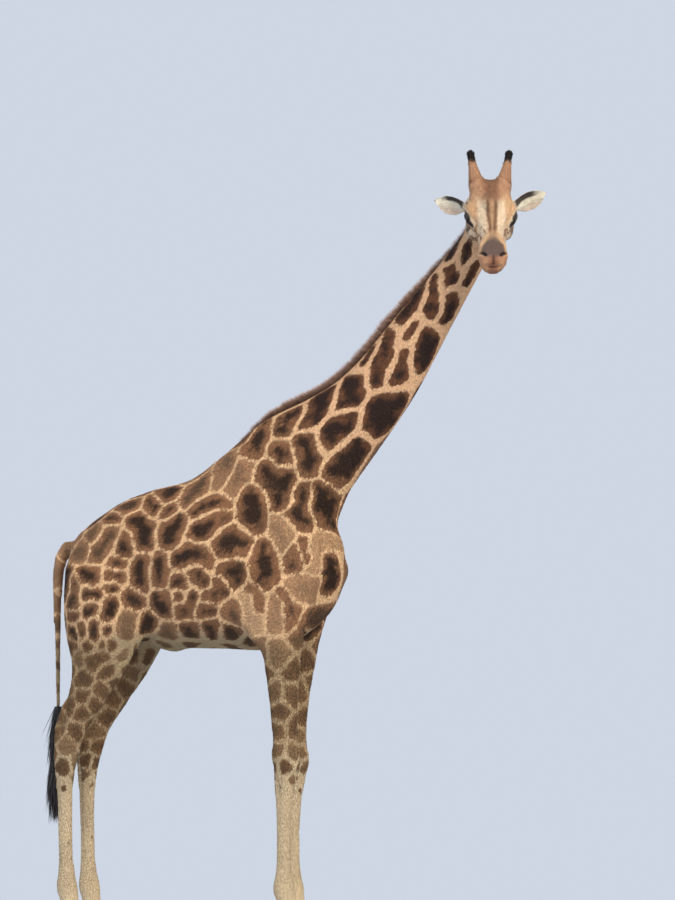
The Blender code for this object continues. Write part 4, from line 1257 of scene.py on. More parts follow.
@dataclass
class Ears:
    """Where the ears point, in the head's frame."""

    root: Spot = (0.026, 0.120, -0.008)  # where the left ear starts
    length: float = 0.235  # from there to the tip
    half_width: float = 0.048  # half the ear's breadth
    droop: float = 0.40  # how much wider the lower half is than its CAD solid
    smooth_rounds: int = 30  # how often the rims are smoothed

    def reach(self, side: Side) -> Points:
        """The unit direction from an ear's root towards its tip, found from its CAD box's middle."""
        middle = HEAD.inside(np.array([sum(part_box(f"ear_{side.word}"), Vector()) / 2]))[0]
        way = middle - self.start(side)
        return way / np.linalg.norm(way)

    def start(self, side: Side) -> Points:
        """An ear's root."""
        return np.array(self.root) * (1, side, 1)

    def lift(self, side: Side) -> Points:
        """The unit direction up across an ear."""
        upwards = np.cross((1, 0, 0), self.reach(side)) * side
        return upwards / np.linalg.norm(upwards)

    def upwards(self, face: Points) -> Points:
        """The way up across the nearer ear, for each place."""
        return np.where(face[:, 1:2] > 0, self.lift(Side.LEFT), self.lift(Side.RIGHT))

    def share(self, face: Points) -> tuple[Points, Points, Points]:
        """Where places lie on the ears.

        Args:
            face: places in the head's frame.

        Returns:
            For each place how far out it lies as a share of the length, below 0 off the ears, how far
            above the ear's middle line, and that line's direction.
        """
        out = np.full(len(face), -1.0)
        above = np.zeros(len(face))
        ways = np.zeros((len(face), 3))
        for side in Side:
            way = self.reach(side)
            local = face - self.start(side)
            along = local @ way
            aside = np.linalg.norm(local - along[:, None] * way, axis=1)
            mine = (along > 0.02) & (aside < 1.75 * self.half_width) & (face[:, 1] * side > 0.10)
            out = np.where(mine, along / self.length, out)
            above = np.where(mine, local @ self.lift(side), above)
            ways = np.where(mine[:, None], way, ways)
        return out, above, ways

    def shape(self, mesh: bpy.types.Mesh) -> None:
        """Smooths the ears' rims and widens their lower halves.

        Args:
            mesh: the skin, changed in place.
        """
        face = HEAD.inside(coordinates(mesh))
        relaxed(mesh, self.smooth_rounds, step(0.02, 0.12, self.share(face)[0]))
        face = HEAD.inside(coordinates(mesh))
        out, above, _ = self.share(face)
        hang = self.droop * np.minimum(above, 0.0) * step(0.10, 0.35, out) * step(1.0, 0.7, out)
        put(mesh, HEAD.outside(face + hang[:, None] * self.upwards(face)))


EARS = Ears()


@dataclass
class Dressing:
    """What the skin's vertices carry: colours, the hair's lie, its size and where it grows."""

    stray: float = 0.22  # how much the lie wanders
    markings: Markings = field(default_factory=Markings)  # the body's patches
    face: FacePaint = field(default_factory=FacePaint)  # the face's own colours

    def lie(self, points: Points, normals: Points, reach: Reach) -> Points:
        """The way the hair lies along the skin.

        Args:
            points: world places.
            normals: the skin's normals there.
            reach: the parts that each place belongs to.

        Returns:
            A unit tangent for each place.
        """
        face = HEAD.inside(points)
        along_face = layered(
            repeated((-1.0, 0.0, 0.1), points),
            (np.array((-0.85, 0.0, -0.5)), step(0.05, 0.09, np.abs(face[:, 1]))),  # cheeks
            (np.array((-0.4, 0.0, -0.9)), step(0.50, 0.56, face[:, 0])),  # lips
        )
        out, _, ear_way = EARS.share(face)
        way = layered(
            repeated((-0.80, 0.0, -0.55), points),
            (np.array((-0.45, 0.0, -0.90)), np.maximum(reach.shoulder, reach.rump)),
            (np.array((-0.12, 0.0, -1.0)), np.maximum(reach.leg, reach.thigh)),
            (np.array((-1.0, 0.0, -0.05)), reach.belly),
            (-BODY.neck_way() + (0.0, 0.0, -0.15), reach.neck),
            (np.array((0.0, 0.0, -1.0)), step(0.02, -0.04, BODY.inside(points)[:, 0])),  # tail
            (HEAD.turned(along_face), reach.head),
            (HEAD.turned(ear_way), step(0.10, 0.16, out)),
        )
        sway = np.stack([wander(points, 0.12, 31.0 + 3.0 * k) for k in range(3)], axis=1)
        way = flattened(way + self.stray * sway, normals)
        return way / np.maximum(np.linalg.norm(way, axis=1), 1e-6)[:, None]

    def hair_size(self, points: Points, reach: Reach) -> Points:
        """The tufts' size as a share of the barrel's.

        Args:
            points: world places.
            reach: the parts that each place belongs to.

        Returns:
            The size at each place.
        """
        face = HEAD.inside(points)
        fore, _, height = BODY.inside(points).T
        out, _, _ = EARS.share(face)
        return settled(
            1.0 - 0.12 * reach.neck,
            (0.62, step(1.3, 0.7, height)),  # lower legs
            (0.40, step(0.35, 0.20, height)),  # pasterns
            (1.05, step(0.165, 0.135, height)),  # fringe over the hooves
            (0.55, step(-0.02, -0.06, fore) * (1 - reach.leg)),  # tail
            (0.44, reach.head),
            (0.26, reach.head * step(0.38, 0.50, face[:, 0])),  # muzzle
            (0.42, step(0.10, 0.16, out)),  # ears
        )

    def ear_black(self, out: Points, above: Points) -> Points:
        """Where painted shade darkens the cups of the ears' inner upper halves."""
        return step(0.84, 0.62, out) * step(-0.008, 0.004, above + 0.010 * (0.5 - out))

    def ear_colours(self, face: Points, normals: Points, colour: Points) -> Points:
        """Pale ears, with painted shade in the cup at the inner root's upper edge, and a warm rim.

        Args:
            face: places in the head's frame.
            normals: the skin's normals there, in the world.
            colour: the colours so far.

        Returns:
            A colour for each place.
        """
        out, above, _ = EARS.share(face)
        on_ear = step(0.10, 0.20, out)
        front = (normals @ HEAD.axes.T)[:, 0]
        # painted shade inside the ear's cup, on its front
        black = self.ear_black(out, above) * step(-0.1, 0.2, front)
        rim = step(0.026, 0.040, np.abs(above)) * on_ear * step(0.95, 0.6, out)
        return layered(
            colour,
            (Tint.EAR_CREAM, on_ear),
            (Tint.FACE_TAN, on_ear * step(0.0, -0.5, front) * 0.6),
            (Tint.DARK, 0.95 * on_ear * black),
            (Tint.EAR_RIM, 0.6 * rim),
        )

    def colours(
        self, points: Points, plain: Points, normals: Points, lids: Eyelids
    ) -> tuple[Points, Points, Points]:
        """The whole skin's colours.

        Args:
            points: world places.
            plain: the same places before nostrils, mouth and folds were sunk.
            normals: the skin's normals there.
            lids: the eyelids.

        Returns:
            Ground colour, patch colour and distance inside a patch for each place.
        """
        head_share = reach_of(points).head
        on_head = head_share > 0.0
        face = HEAD.inside(points)
        out, _, _ = EARS.share(face)
        ground, patch, edge = self.markings.spread(points)
        painted = self.face.ground(face[on_head], HEAD.inside(plain[on_head]), lids)
        ground[on_head] = blend(ground[on_head], painted, head_share[on_head])
        ground = self.ear_colours(face, normals, ground)
        spots = self.face.spots(face[on_head]) - 0.05 * step(0.05, 0.15, out[on_head])
        for side in Side:
            near = np.linalg.norm(face[on_head] - lids.middle(side), axis=1)
            spots -= 0.05 * step(0.075, 0.055, near)
        share = step(0.3, 0.7, head_share[on_head])
        edge[on_head] = edge[on_head] * (1 - share) + spots * share
        patch[on_head] = blend(patch[on_head], Tint.SPOT, share)
        edge -= 0.1 * step(0.02, 0.08, out)
        return ground, patch, edge

    def hairy(self, points: Points, plain: Points, lids: Eyelids) -> Points:
        """1 where hair grows, 0 in the eye openings, nostrils and mouth.

        Args:
            points: world places.
            plain: the same places before nostrils, mouth and folds were sunk.
            lids: the eyelids.

        Returns:
            The weights.
        """
        face, flat = HEAD.inside(points), HEAD.inside(plain)
        grown = np.ones(len(points))
        for side in Side:
            local = (face - lids.middle(side)) @ lids.axes(side).T
            eye = step(1.75, 1.50, lids.opening(local)) * step(-0.010, 0.0, local[:, 2])
            grown *= 1 - eye * (np.linalg.norm(local, axis=1) < 0.05)
        grown *= 1 - step(0.2, 0.6, strongest(chain(NOSTRIL_LINE, 0.010), flat))
        return grown * (1 - step(0.3, 0.7, strongest(chain(MOUTH_LINE, 0.006), flat)))

    def mane_size(self, points: Points) -> Points:
        """The mane's height, shorter at both ends."""
        up = BODY.along_neck(points)
        ragged = 1 + 0.16 * wander(points, 0.05, 8.0)
        return ragged * np.maximum(step(-0.62, -0.10, up), 0.35) * (1 - 0.45 * step(0.75, 1.25, up))

    def ear_hair(self, points: Points, normals: Points) -> Points:
        """Where long pale hair grows inside the ears.

        Args:
            points: world places.
            normals: the skin's normals there.

        Returns:
            A weight for each place.
        """
        out, above, _ = EARS.share(HEAD.inside(points))
        front = (normals @ HEAD.axes.T)[:, 0]
        edge = step(0.012, 0.026, np.abs(above))
        inner = step(0.10, 0.20, out) * step(0.92, 0.75, out) * step(0.0, 0.4, front)
        return inner * (0.25 + 0.75 * edge) * (1 - self.ear_black(out, above))

    def growth(self, points: Points) -> dict[str, Points]:
        """How thickly each coat piece grows at each place; neighbours fade into each other.

        Args:
            points: world places.

        Returns:
            A weight for each zone, by the zone's attribute name.
        """
        local = BODY.inside(points)
        fore, left, height = local.T
        reach = reach_of(points)
        head = step(-0.05, 0.0, HEAD.beyond_throat(points))
        neck = (1 - head) * reach.neck
        rest = (1 - head) * (1 - reach.neck)
        legs = step(1.98, 1.92, height) * rest
        front = step(0.70, 0.74, fore)
        tail = step(0.0, -0.03, fore)
        barrel = rest * (1 - legs) * (1 - tail)
        on_left = step(-0.01, 0.01, left)
        body_share = {
            Zone.HEAD: head * 2.6,
            Zone.NECK: neck,
            Zone.BARREL_LEFT: barrel * on_left,
            Zone.BARREL_RIGHT: barrel * (1 - on_left),
            Zone.FORELEGS: legs * front,
            Zone.HINDLEGS: np.maximum(legs * (1 - front), tail * rest),
        }
        finer = 1 + 0.5 * step(1.3, 0.7, height)
        return {f"grow_{zone.name.lower()}": share * finer for zone, share in body_share.items()}


# ---------------------------------------------------------------- finishes
class NodeDesk:
    """Adds nodes to a tree, with their settings and inputs in one call."""

    def __init__(self, tree: bpy.types.NodeTree) -> None:
        """Starts on an empty tree."""
        self.tree = tree
        tree.nodes.clear()

    def add(self, kind: str, inputs: Optional[dict] = None, **settings: object) -> bpy.types.Node:
        """Adds one node.

        Args:
            kind: the node's type.
            inputs: a value or an output socket for each input, by name or index.
            **settings: the node's own settings.

        Returns:
            The node.
        """
        node = self.tree.nodes.new(kind)
        for key, value in settings.items():
            setattr(node, key, value)
        for key, value in (inputs or {}).items():
            sockets = [s for s in node.inputs if s.enabled and s.name == key]
            socket = node.inputs[key] if isinstance(key, int) else sockets[0]
            if isinstance(value, Socket):
                self.tree.links.new(value, socket)
            else:
                socket.default_value = value
        return node

    def out(self, kind: str, inputs: Optional[dict] = None, output: str = "", **settings: object) -> Socket:
        """Adds one node and gives its named output, or its first."""
        node = self.add(kind, inputs, **settings)
        found = [s for s in node.outputs if s.enabled and (not output or s.name == output)]
        return found[0]

    def math(self, operation: str, *values: Plug) -> Socket:
        """One sum or product in a shader or geometry tree."""
        return self.out("ShaderNodeMath", dict(enumerate(values)), operation=operation)

    def mixed(self, share: Plug, a: Plug, b: Plug, kind: str = "MIX") -> Socket:
        """Two colours mixed by a share, or multiplied."""
        sockets = {0: share, 6: a, 7: b}
        return self.out("ShaderNodeMix", sockets, data_type="RGBA", blend_type=kind)

    def grain(self, where: Socket, scale: float, detail: float = 2.0) -> Socket:
        """Noise from 0 to 1 at a scale."""
        return self.out("ShaderNodeTexNoise", {"Vector": where, "Scale": scale, "Detail": detail})

    def ranged(self, value: Socket, low: float, high: float, to_low: float, to_high: float) -> Socket:
        """A number carried from one range to another."""
        spans = {"Value": value, "From Min": low, "From Max": high, "To Min": to_low, "To Max": to_high}
        return self.out("ShaderNodeMapRange", spans)

    def brightened(self, colour: Plug, factor: Socket) -> Socket:
        """A colour times a number."""
        grey = self.out("ShaderNodeCombineXYZ", {0: factor, 1: factor, 2: factor})
        return self.mixed(1.0, colour, grey, "MULTIPLY")


class ShaderDesk(NodeDesk):
    """A new material, whose nodes start from the Object coordinates."""

    MIDDLE = (0.3, 0.7)  # most noise lies between these

    def __init__(self, name: str) -> None:
        """Starts the material."""
        self.made = bpy.data.materials.new(name)
        self.made.use_nodes = True
        super().__init__(self.made.node_tree)
        self.place = self.out("ShaderNodeTexCoord", output="Object")

    def stored(self, name: str, output: str = "Fac") -> Socket:
        """A mesh attribute as a number, or as a colour."""
        return self.out("ShaderNodeAttribute", output=output, attribute_name=name)

    def speckled(
        self, scale: float, low: float, high: float, detail: float = 2.0, where: Optional[Socket] = None
    ) -> Socket:
        """Noise between two numbers."""
        return self.ranged(self.grain(where or self.place, scale, detail), *self.MIDDLE, low, high)

    def surfaced(self, colour: Socket, roughness: float, **inputs: Plug) -> bpy.types.Material:
        """The material, finished with a surface; other inputs have _ for a space in their names."""
        sockets = {key.replace("_", " "): value for key, value in inputs.items()}
        sockets |= {"Base Color": colour, "Roughness": roughness}
        return self.ended(self.out("ShaderNodeBsdfPrincipled", sockets))

    def ended(self, surface: Socket) -> bpy.types.Material:
        """The material, finished with the given shader."""
        self.add("ShaderNodeOutputMaterial", {"Surface": surface})
        return self.made


@dataclass(frozen=True)
class CoatFinish:
    """The short coat and the skin under it, with one set of markings."""

    name: str  # the material's name
    on_hairs: bool  # whether it dresses tufts, which pale towards their tips
    roughness: float = 0.80  # of the hair
    sheen: float = 0.05  # the soft glow at grazing angles
    specular: float = 0.20

    def build(self) -> bpy.types.Material:
        """The material, which reads the ground, patch and edge attributes.

        Returns:
            The finish.
        """
        desk = ShaderDesk(self.name)
        bends = [
            desk.ranged(desk.grain(desk.place, scale), 0.25, 0.75, -reach, reach)
            for scale, reach in ((42.0, 0.0055), (190.0, 0.0030))
        ]
        ragged = desk.math("ADD", desk.stored("edge"), desk.math("ADD", *bends))
        share = desk.ranged(ragged, -0.0025, 0.0030, 0.0, 1.0)
        colour = desk.mixed(share, desk.stored("ground", "Color"), desk.stored("patch", "Color"))
        mottle, flecks = desk.speckled(6.0, 0.92, 1.07, 4.0), desk.speckled(130.0, 0.90, 1.09)
        colour = desk.brightened(colour, desk.math("MULTIPLY", mottle, flecks))
        sheen = {"Sheen_Weight": self.sheen, "Sheen_Roughness": 0.45, "Specular_IOR_Level": self.specular}
        if self.on_hairs:
            tip = desk.ranged(desk.stored("along"), 0.0, 1.0, 0.84, 1.10)
            own = desk.ranged(desk.stored("shade"), 0.0, 1.0, 0.86, 1.13)
            colour = desk.brightened(colour, desk.math("MULTIPLY", tip, own))
            return desk.surfaced(colour, self.roughness, **sheen)
        pores = {"Height": desk.grain(desk.place, 420.0, 3.0), "Strength": 0.35, "Distance": 0.002}
        return desk.surfaced(colour, self.roughness, Normal=desk.out("ShaderNodeBump", pores), **sheen)


@dataclass(frozen=True)
class HairFinish:
    """Longer hair of one colour from root to tip."""

    name: str  # the material's name
    root: Spot  # the colour at the skin
    tip: Spot  # the colour at the ends
    roughness: float = 0.60  # of the hair

    def build(self) -> bpy.types.Material:
        """The material, which reads each hair's own shade and how far along it a place is."""
        desk = ShaderDesk(self.name)
        colour = desk.mixed(desk.stored("along"), rgba(paint(*self.root)), rgba(paint(*self.tip)))
        own = desk.ranged(desk.stored("shade"), 0.0, 1.0, 0.70, 1.30)
        colour = desk.brightened(colour, desk.math("MULTIPLY", own, desk.speckled(30.0, 0.80, 1.20)))
        return desk.surfaced(colour, self.roughness, Specular_IOR_Level=0.35, Sheen_Weight=0.10)


@dataclass(frozen=True)
class HoofFinish:
    """Dark worn horn with growth rings and a dusty lower edge."""

    name: str = "hoof_horn"  # the material's name
    ring_turn: float = 460.0  # how far the rings' wave turns in a metre of height, in radians
    dust_height: float = 0.085  # how high the dust reaches
    roughness: float = 0.52  # of the horn

    def build(self) -> bpy.types.Material:
        """The material, whose rings follow height.

        Returns:
            The finish.
        """
        desk = ShaderDesk(self.name)
        height = desk.out("ShaderNodeSeparateXYZ", {0: desk.place}, "Z")
        upright = desk.out("ShaderNodeMapping", {0: desk.place, "Scale": (1.0, 1.0, 0.12)})
        streaks = desk.speckled(160.0, 0.72, 1.25, 3.0, upright)
        low = desk.ranged(height, 0.0, self.dust_height, 1.0, 0.0)
        colour = desk.mixed(low, rgba(paint(46, 38, 34)), rgba(paint(98, 84, 68)))
        turn = desk.math("MULTIPLY", height, self.ring_turn)
        ring = desk.math("SINE", desk.math("ADD", turn, desk.grain(desk.place, 20.0)))
        bumps = desk.out("ShaderNodeBump", {"Height": ring, "Strength": 0.45, "Distance": 0.0012})
        return desk.surfaced(desk.brightened(colour, streaks), self.roughness, Normal=bumps)


@dataclass(frozen=True)
class EyeFinish:
    """A wet dark eye with a level pupil."""

    name: str = "eye_wet"
    roughness: float = 0.12

    def build(self) -> bpy.types.Material:
        """The material, which reads the painted iris."""
        desk = ShaderDesk(self.name)
        colour = desk.brightened(desk.stored("iris", "Color"), desk.speckled(240.0, 0.75, 1.25, 4.0))
        wet = {"Specular_IOR_Level": 0.3, "Coat_Weight": 0.45, "Coat_Roughness": 0.02}
        return desk.surfaced(colour, self.roughness, **wet)


@dataclass(frozen=True)
class FloorFinish:
    """A pale studio floor that fades into the backdrop's colour far away."""

    name: str = "studio_floor"
    near: float = 2.5
    far: float = 8.5
    roughness: float = 0.9

    def build(self) -> bpy.types.Material:
        """The material, clear beyond its far distance.

        Returns:
            The finish.
        """
        desk = ShaderDesk(self.name)
        away = desk.out("ShaderNodeVectorMath", {0: desk.place}, "Value", operation="LENGTH")
        span = {"Value": away, "From Min": self.near, "From Max": self.far}
        fade = desk.out("ShaderNodeMapRange", span, interpolation_type="SMOOTHSTEP")
        colour = desk.brightened(rgba(paint(176, 180, 187)), desk.speckled(8.0, 0.97, 1.03, 4.0))
        matt = desk.out("ShaderNodeBsdfPrincipled", {"Base Color": colour, "Roughness": self.roughness})
        clear = desk.out("ShaderNodeBsdfTransparent")
        return desk.ended(desk.out("ShaderNodeMixShader", {0: fade, 1: matt, 2: clear}))


# ---------------------------------------------------------------- hair
def hair_form(name: str, segments: int, arch: float = 0.0) -> bpy.types.Object:
    """A tapering three-sided lock of hair, one unit long along x and one wide.

    Args:
        name: the object's name.
        segments: how many lengths it bends in.
        arch: how high its middle rises.

    Returns:
        A hidden object for the hair tree to plant.
    """
    thickness, narrowed, ahead = 0.22, 0.75, 0.22  # all as shares: of the width, of it too, and of a length
    made = bmesh.new()
    along = made.verts.layers.float.new("along")
    blade = made.verts.layers.float_vector.new("blade")

    def corner(share: float, across: float, width: float, lift: float) -> bmesh.types.BMVert:
        """One vertex of the lock."""
        rise = arch * math.sin(math.pi * min(share, 1.0) * 0.5) ** 2
        vertex = made.verts.new((share, (across - 0.5) * width, rise + lift))
        vertex[along] = share
        vertex[blade] = (share, across, 0.0)
        return vertex

    rings = []
    for share in (i / segments for i in range(segments)):
        width = 1.0 - narrowed * share**1.5
        ridge = share + ahead / segments
        spots = ((share, 0.0, width, 0.0), (share, 1.0, width, 0.0), (ridge, 0.5, width, thickness * width))
        rings.append([corner(*spot) for spot in spots])
    tip = corner(1.0, 0.5, 0.0, 0.0)
    made.faces.new(rings[0])
    for ring, following in zip(rings, rings[1:]):
        for k in range(3):
            made.faces.new((ring[k], ring[(k + 1) % 3], following[(k + 1) % 3], following[k]))
    for k in range(3):
        made.faces.new((rings[-1][k], rings[-1][(k + 1) % 3], tip))
    bmesh.ops.triangulate(made, faces=made.faces)
    bmesh.ops.recalc_face_normals(made, faces=made.faces)
    form = new_object(name, as_mesh(made, name))
    form.hide_render = True
    return form


@dataclass(frozen=True)
class Growth:
    """One planting of hair."""

    where: str  # the attribute that says where it grows
    density: float  # locks a square metre where that attribute is 1
    length: float  # of a lock where the size attribute is 1, in metres
    width: float  # of its root
    rise: float = 9.0  # how far it stands off the skin, in degrees
    spread: float = 14.0  # how much locks turn from the lie, in degrees
    ruffle: float = 0.35  # how unevenly they stand off, as a share of the rise
    lie: str = "lie"  # the attribute with the way the hair lies
    size: str = "size"  # the attribute that scales each lock
    seed: int = 1  # fixes the scatter


class HairTree:
    """Geometry Nodes that plant locks over a surface, along its lie, and keep the surface's colours."""

    PATCH = 0.003  # how wide each lock's patch of the bake map is
    INPUTS = {
        "Geometry": ("Surface",),
        "Object": ("Lock",),
        "String": ("Where", "Lie", "Size"),
        "Float": ("Density", "Length", "Width", "Rise", "Spread", "Ruffle"),
        "Int": ("Seed",),
        "Material": ("Material",),
    }
    ANGLES = ("Rise", "Spread")
    CARRIED = (BAKE_MAP, "ground", "patch", "edge", "along", "shade")

    def __init__(self) -> None:
        """Builds the tree."""
        self.tree = bpy.data.node_groups.new("planted_hair", "GeometryNodeTree")
        face = self.tree.interface
        for kind, names in self.INPUTS.items():
            for name in names:
                face.new_socket(name, in_out="INPUT", socket_type=f"NodeSocket{kind}")
        face.new_socket("Hair", in_out="OUTPUT", socket_type="NodeSocketGeometry")
        self.sockets = {item.name: item.identifier for item in face.items_tree if item.in_out == "INPUT"}
        desk = NodeDesk(self.tree)
        given = desk.add("NodeGroupInput").outputs
        weight = self.named(desk, given["Where"])
        planted = desk.add(
            "GeometryNodeDistributePointsOnFaces",
            {
                "Mesh": given["Surface"],
                "Density": desk.math("MULTIPLY", given["Density"], weight),
                "Seed": given["Seed"],
            },
            distribute_method="RANDOM",
        )
        shaded = desk.out(
            "GeometryNodeStoreNamedAttribute",
            {"Geometry": planted.outputs["Points"], "Name": "shade", "Value": self.chance(desk, 0.0, 1.0, 5)},
            data_type="FLOAT",
            domain="POINT",
        )
        facing = desk.out(
            "FunctionNodeAxesToRotation",
            {
                "Primary Axis": planted.outputs["Normal"],
                "Secondary Axis": self.named(desk, given["Lie"], "FLOAT_VECTOR"),
            },
            primary_axis="Z",
            secondary_axis="X",
        )
        uneven = desk.math("MULTIPLY", given["Ruffle"], self.chance(desk, -1.0, 1.0, 6))
        lift = desk.math("MULTIPLY", given["Rise"], desk.math("SUBTRACT", uneven, 1.0))
        sway = desk.math("MULTIPLY", given["Spread"], self.chance(desk, -1.0, 1.0, 7))
        bend = desk.out("ShaderNodeCombineXYZ", {1: lift, 2: sway})
        euler = desk.out("FunctionNodeEulerToRotation", {0: bend})
        turned = desk.out(
            "FunctionNodeRotateRotation", {"Rotation": facing, "Rotate By": euler}, rotation_space="LOCAL"
        )
        size = self.named(desk, given["Size"])
        sized = [desk.math("MULTIPLY", given[name], size) for name in ("Length", "Width")]
        long = desk.math("MULTIPLY", sized[0], self.chance(desk, 0.7, 1.3, 8))
        wide = desk.math("MULTIPLY", sized[1], self.chance(desk, 0.8, 1.2, 9))
        lock = desk.out("GeometryNodeObjectInfo", {"Object": given["Lock"]}, "Geometry")
        locks = desk.out(
            "GeometryNodeInstanceOnPoints",
            {
                "Points": shaded,
                "Instance": lock,
                "Rotation": turned,
                "Scale": desk.out("ShaderNodeCombineXYZ", {0: long, 1: wide, 2: wide}),
            },
        )
        real = desk.out("GeometryNodeRealizeInstances", {0: locks})
        own = desk.out(
            "ShaderNodeVectorMath",
            {0: self.named(desk, "blade", "FLOAT_VECTOR"), "Scale": self.PATCH},
            operation="SCALE",
        )
        root = self.named(desk, BAKE_MAP, "FLOAT_VECTOR")
        place = desk.out("ShaderNodeVectorMath", {0: root, 1: own}, operation="ADD")
        mapped = desk.out(
            "GeometryNodeStoreNamedAttribute",
            {"Geometry": real, "Name": BAKE_MAP, "Value": place},
            data_type="FLOAT2",
            domain="CORNER",
        )
        dressed = desk.out("GeometryNodeSetMaterial", {"Geometry": mapped, "Material": given["Material"]})
        desk.add("NodeGroupOutput", {0: dressed})

    @staticmethod
    def named(desk: NodeDesk, name: Socket | str, kind: str = "FLOAT") -> Socket:
        """An attribute's value."""
        return desk.out("GeometryNodeInputNamedAttribute", {"Name": name}, "Attribute", data_type=kind)

    @staticmethod
    def chance(desk: NodeDesk, low: float, high: float, seed: int) -> Socket:
        """A random number for each lock."""
        spans = {"Min": low, "Max": high, "Seed": seed}
        return desk.out("FunctionNodeRandomValue", spans, "Value", data_type="FLOAT")

    def plant(
        self,
        name: str,
        surface: bpy.types.Object,
        form: bpy.types.Object,
        growth: Growth,
        material: bpy.types.Material,
    ) -> bpy.types.Object:
        """Grows one piece of hair as a plain mesh.

        Args:
            name: the piece's name.
            surface: what it grows on, with the size, lie and density attributes.
            form: one lock.
            growth: how it is planted.
            material: the hair's finish.

        Returns:
            The finished piece.
        """
        helper = new_object("planting", surface.data.copy())
        nodes = helper.modifiers.new("hair", "NODES")
        nodes.node_group = self.tree
        values = {key.capitalize(): value for key, value in asdict(growth).items()}
        values |= {key: math.radians(values[key]) for key in self.ANGLES}
        for key, value in {**values, "Lock": form, "Material": material}.items():
            nodes[self.sockets[key]] = value
        mesh = evaluated_mesh(helper)
        mesh.name = name
        discard(helper)
        for extra in [a.name for a in mesh.attributes]:
            layer = mesh.attributes[extra]
            if not (extra in self.CARRIED or layer.is_required or layer.is_internal):
                mesh.attributes.remove(layer)
        mesh.materials.clear()
        mesh.materials.append(material)
        return new_object(name, mesh)


# ---------------------------------------------------------------- pieces
def ride(piece: bpy.types.Object, nodes: Sequence[str] = ()) -> bpy.types.Object:
    """Puts a finished piece on the still model, in place of CAD nodes if it stands for any.

    Args:
        piece: the finished object.
        nodes: the CAD nodes it stands for.

    Returns:
        The piece.
    """
    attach(piece, ROOT)
    if nodes:
        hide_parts(*nodes)
    piece.data.calc_loop_triangles()
    log.info("%s: %d triangles", piece.name, len(piece.data.loop_triangles))
    return piece


def unwrap(piece: bpy.types.Object) -> None:
    """Gives a piece its bake map, unwrapped from its own shape.

    Args:
        piece: the object, whose other UV maps are removed.
    """
    while piece.data.uv_layers:
        piece.data.uv_layers.remove(piece.data.uv_layers[0])
    piece.data.uv_layers.new(name=BAKE_MAP)
    bpy.context.view_layer.objects.active = piece
    piece.select_set(True)
    bpy.ops.object.mode_set(mode="EDIT")
    bpy.ops.mesh.select_all(action="SELECT")
    bpy.ops.uv.smart_project(angle_limit=math.radians(66), island_margin=0.002)
    bpy.ops.object.mode_set(mode="OBJECT")
    piece.select_set(False)


def painted_as(mesh: bpy.types.Mesh, ground: Points, patch: Points, edge: Points) -> None:
    """Stores the coat's colours on a mesh."""
    give(mesh, "ground", ground, "FLOAT_COLOR")
    give(mesh, "patch", patch, "FLOAT_COLOR")
    give(mesh, "edge", edge)


def sink(mesh: bpy.types.Mesh, depth: Points) -> None:
    """Draws a mesh's vertices in along their normals."""
    put(mesh, coordinates(mesh) - normals_of(mesh) * depth[:, None])


def distance_to(node: str, points: Points, reach: float) -> Points:
    """How far places lie from a CAD node's surface.

    Args:
        node: the node's name.
        points: rows of world places.
        reach: how far is looked.

    Returns:
        The distances, at most the reach.
    """
    solid = bmesh.new()
    solid.from_mesh(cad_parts[node].data)
    tree = BVHTree.FromBMesh(solid)
    solid.free()
    low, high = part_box(node)
    near = np.all((points > np.array(low) - reach) & (points < np.array(high) + reach), axis=1)
    away = np.full(len(points), reach)
    for row in np.flatnonzero(near):
        _, _, _, found = tree.find_nearest(points[row], reach)
        away[row] = reach if found is None else found
    return away


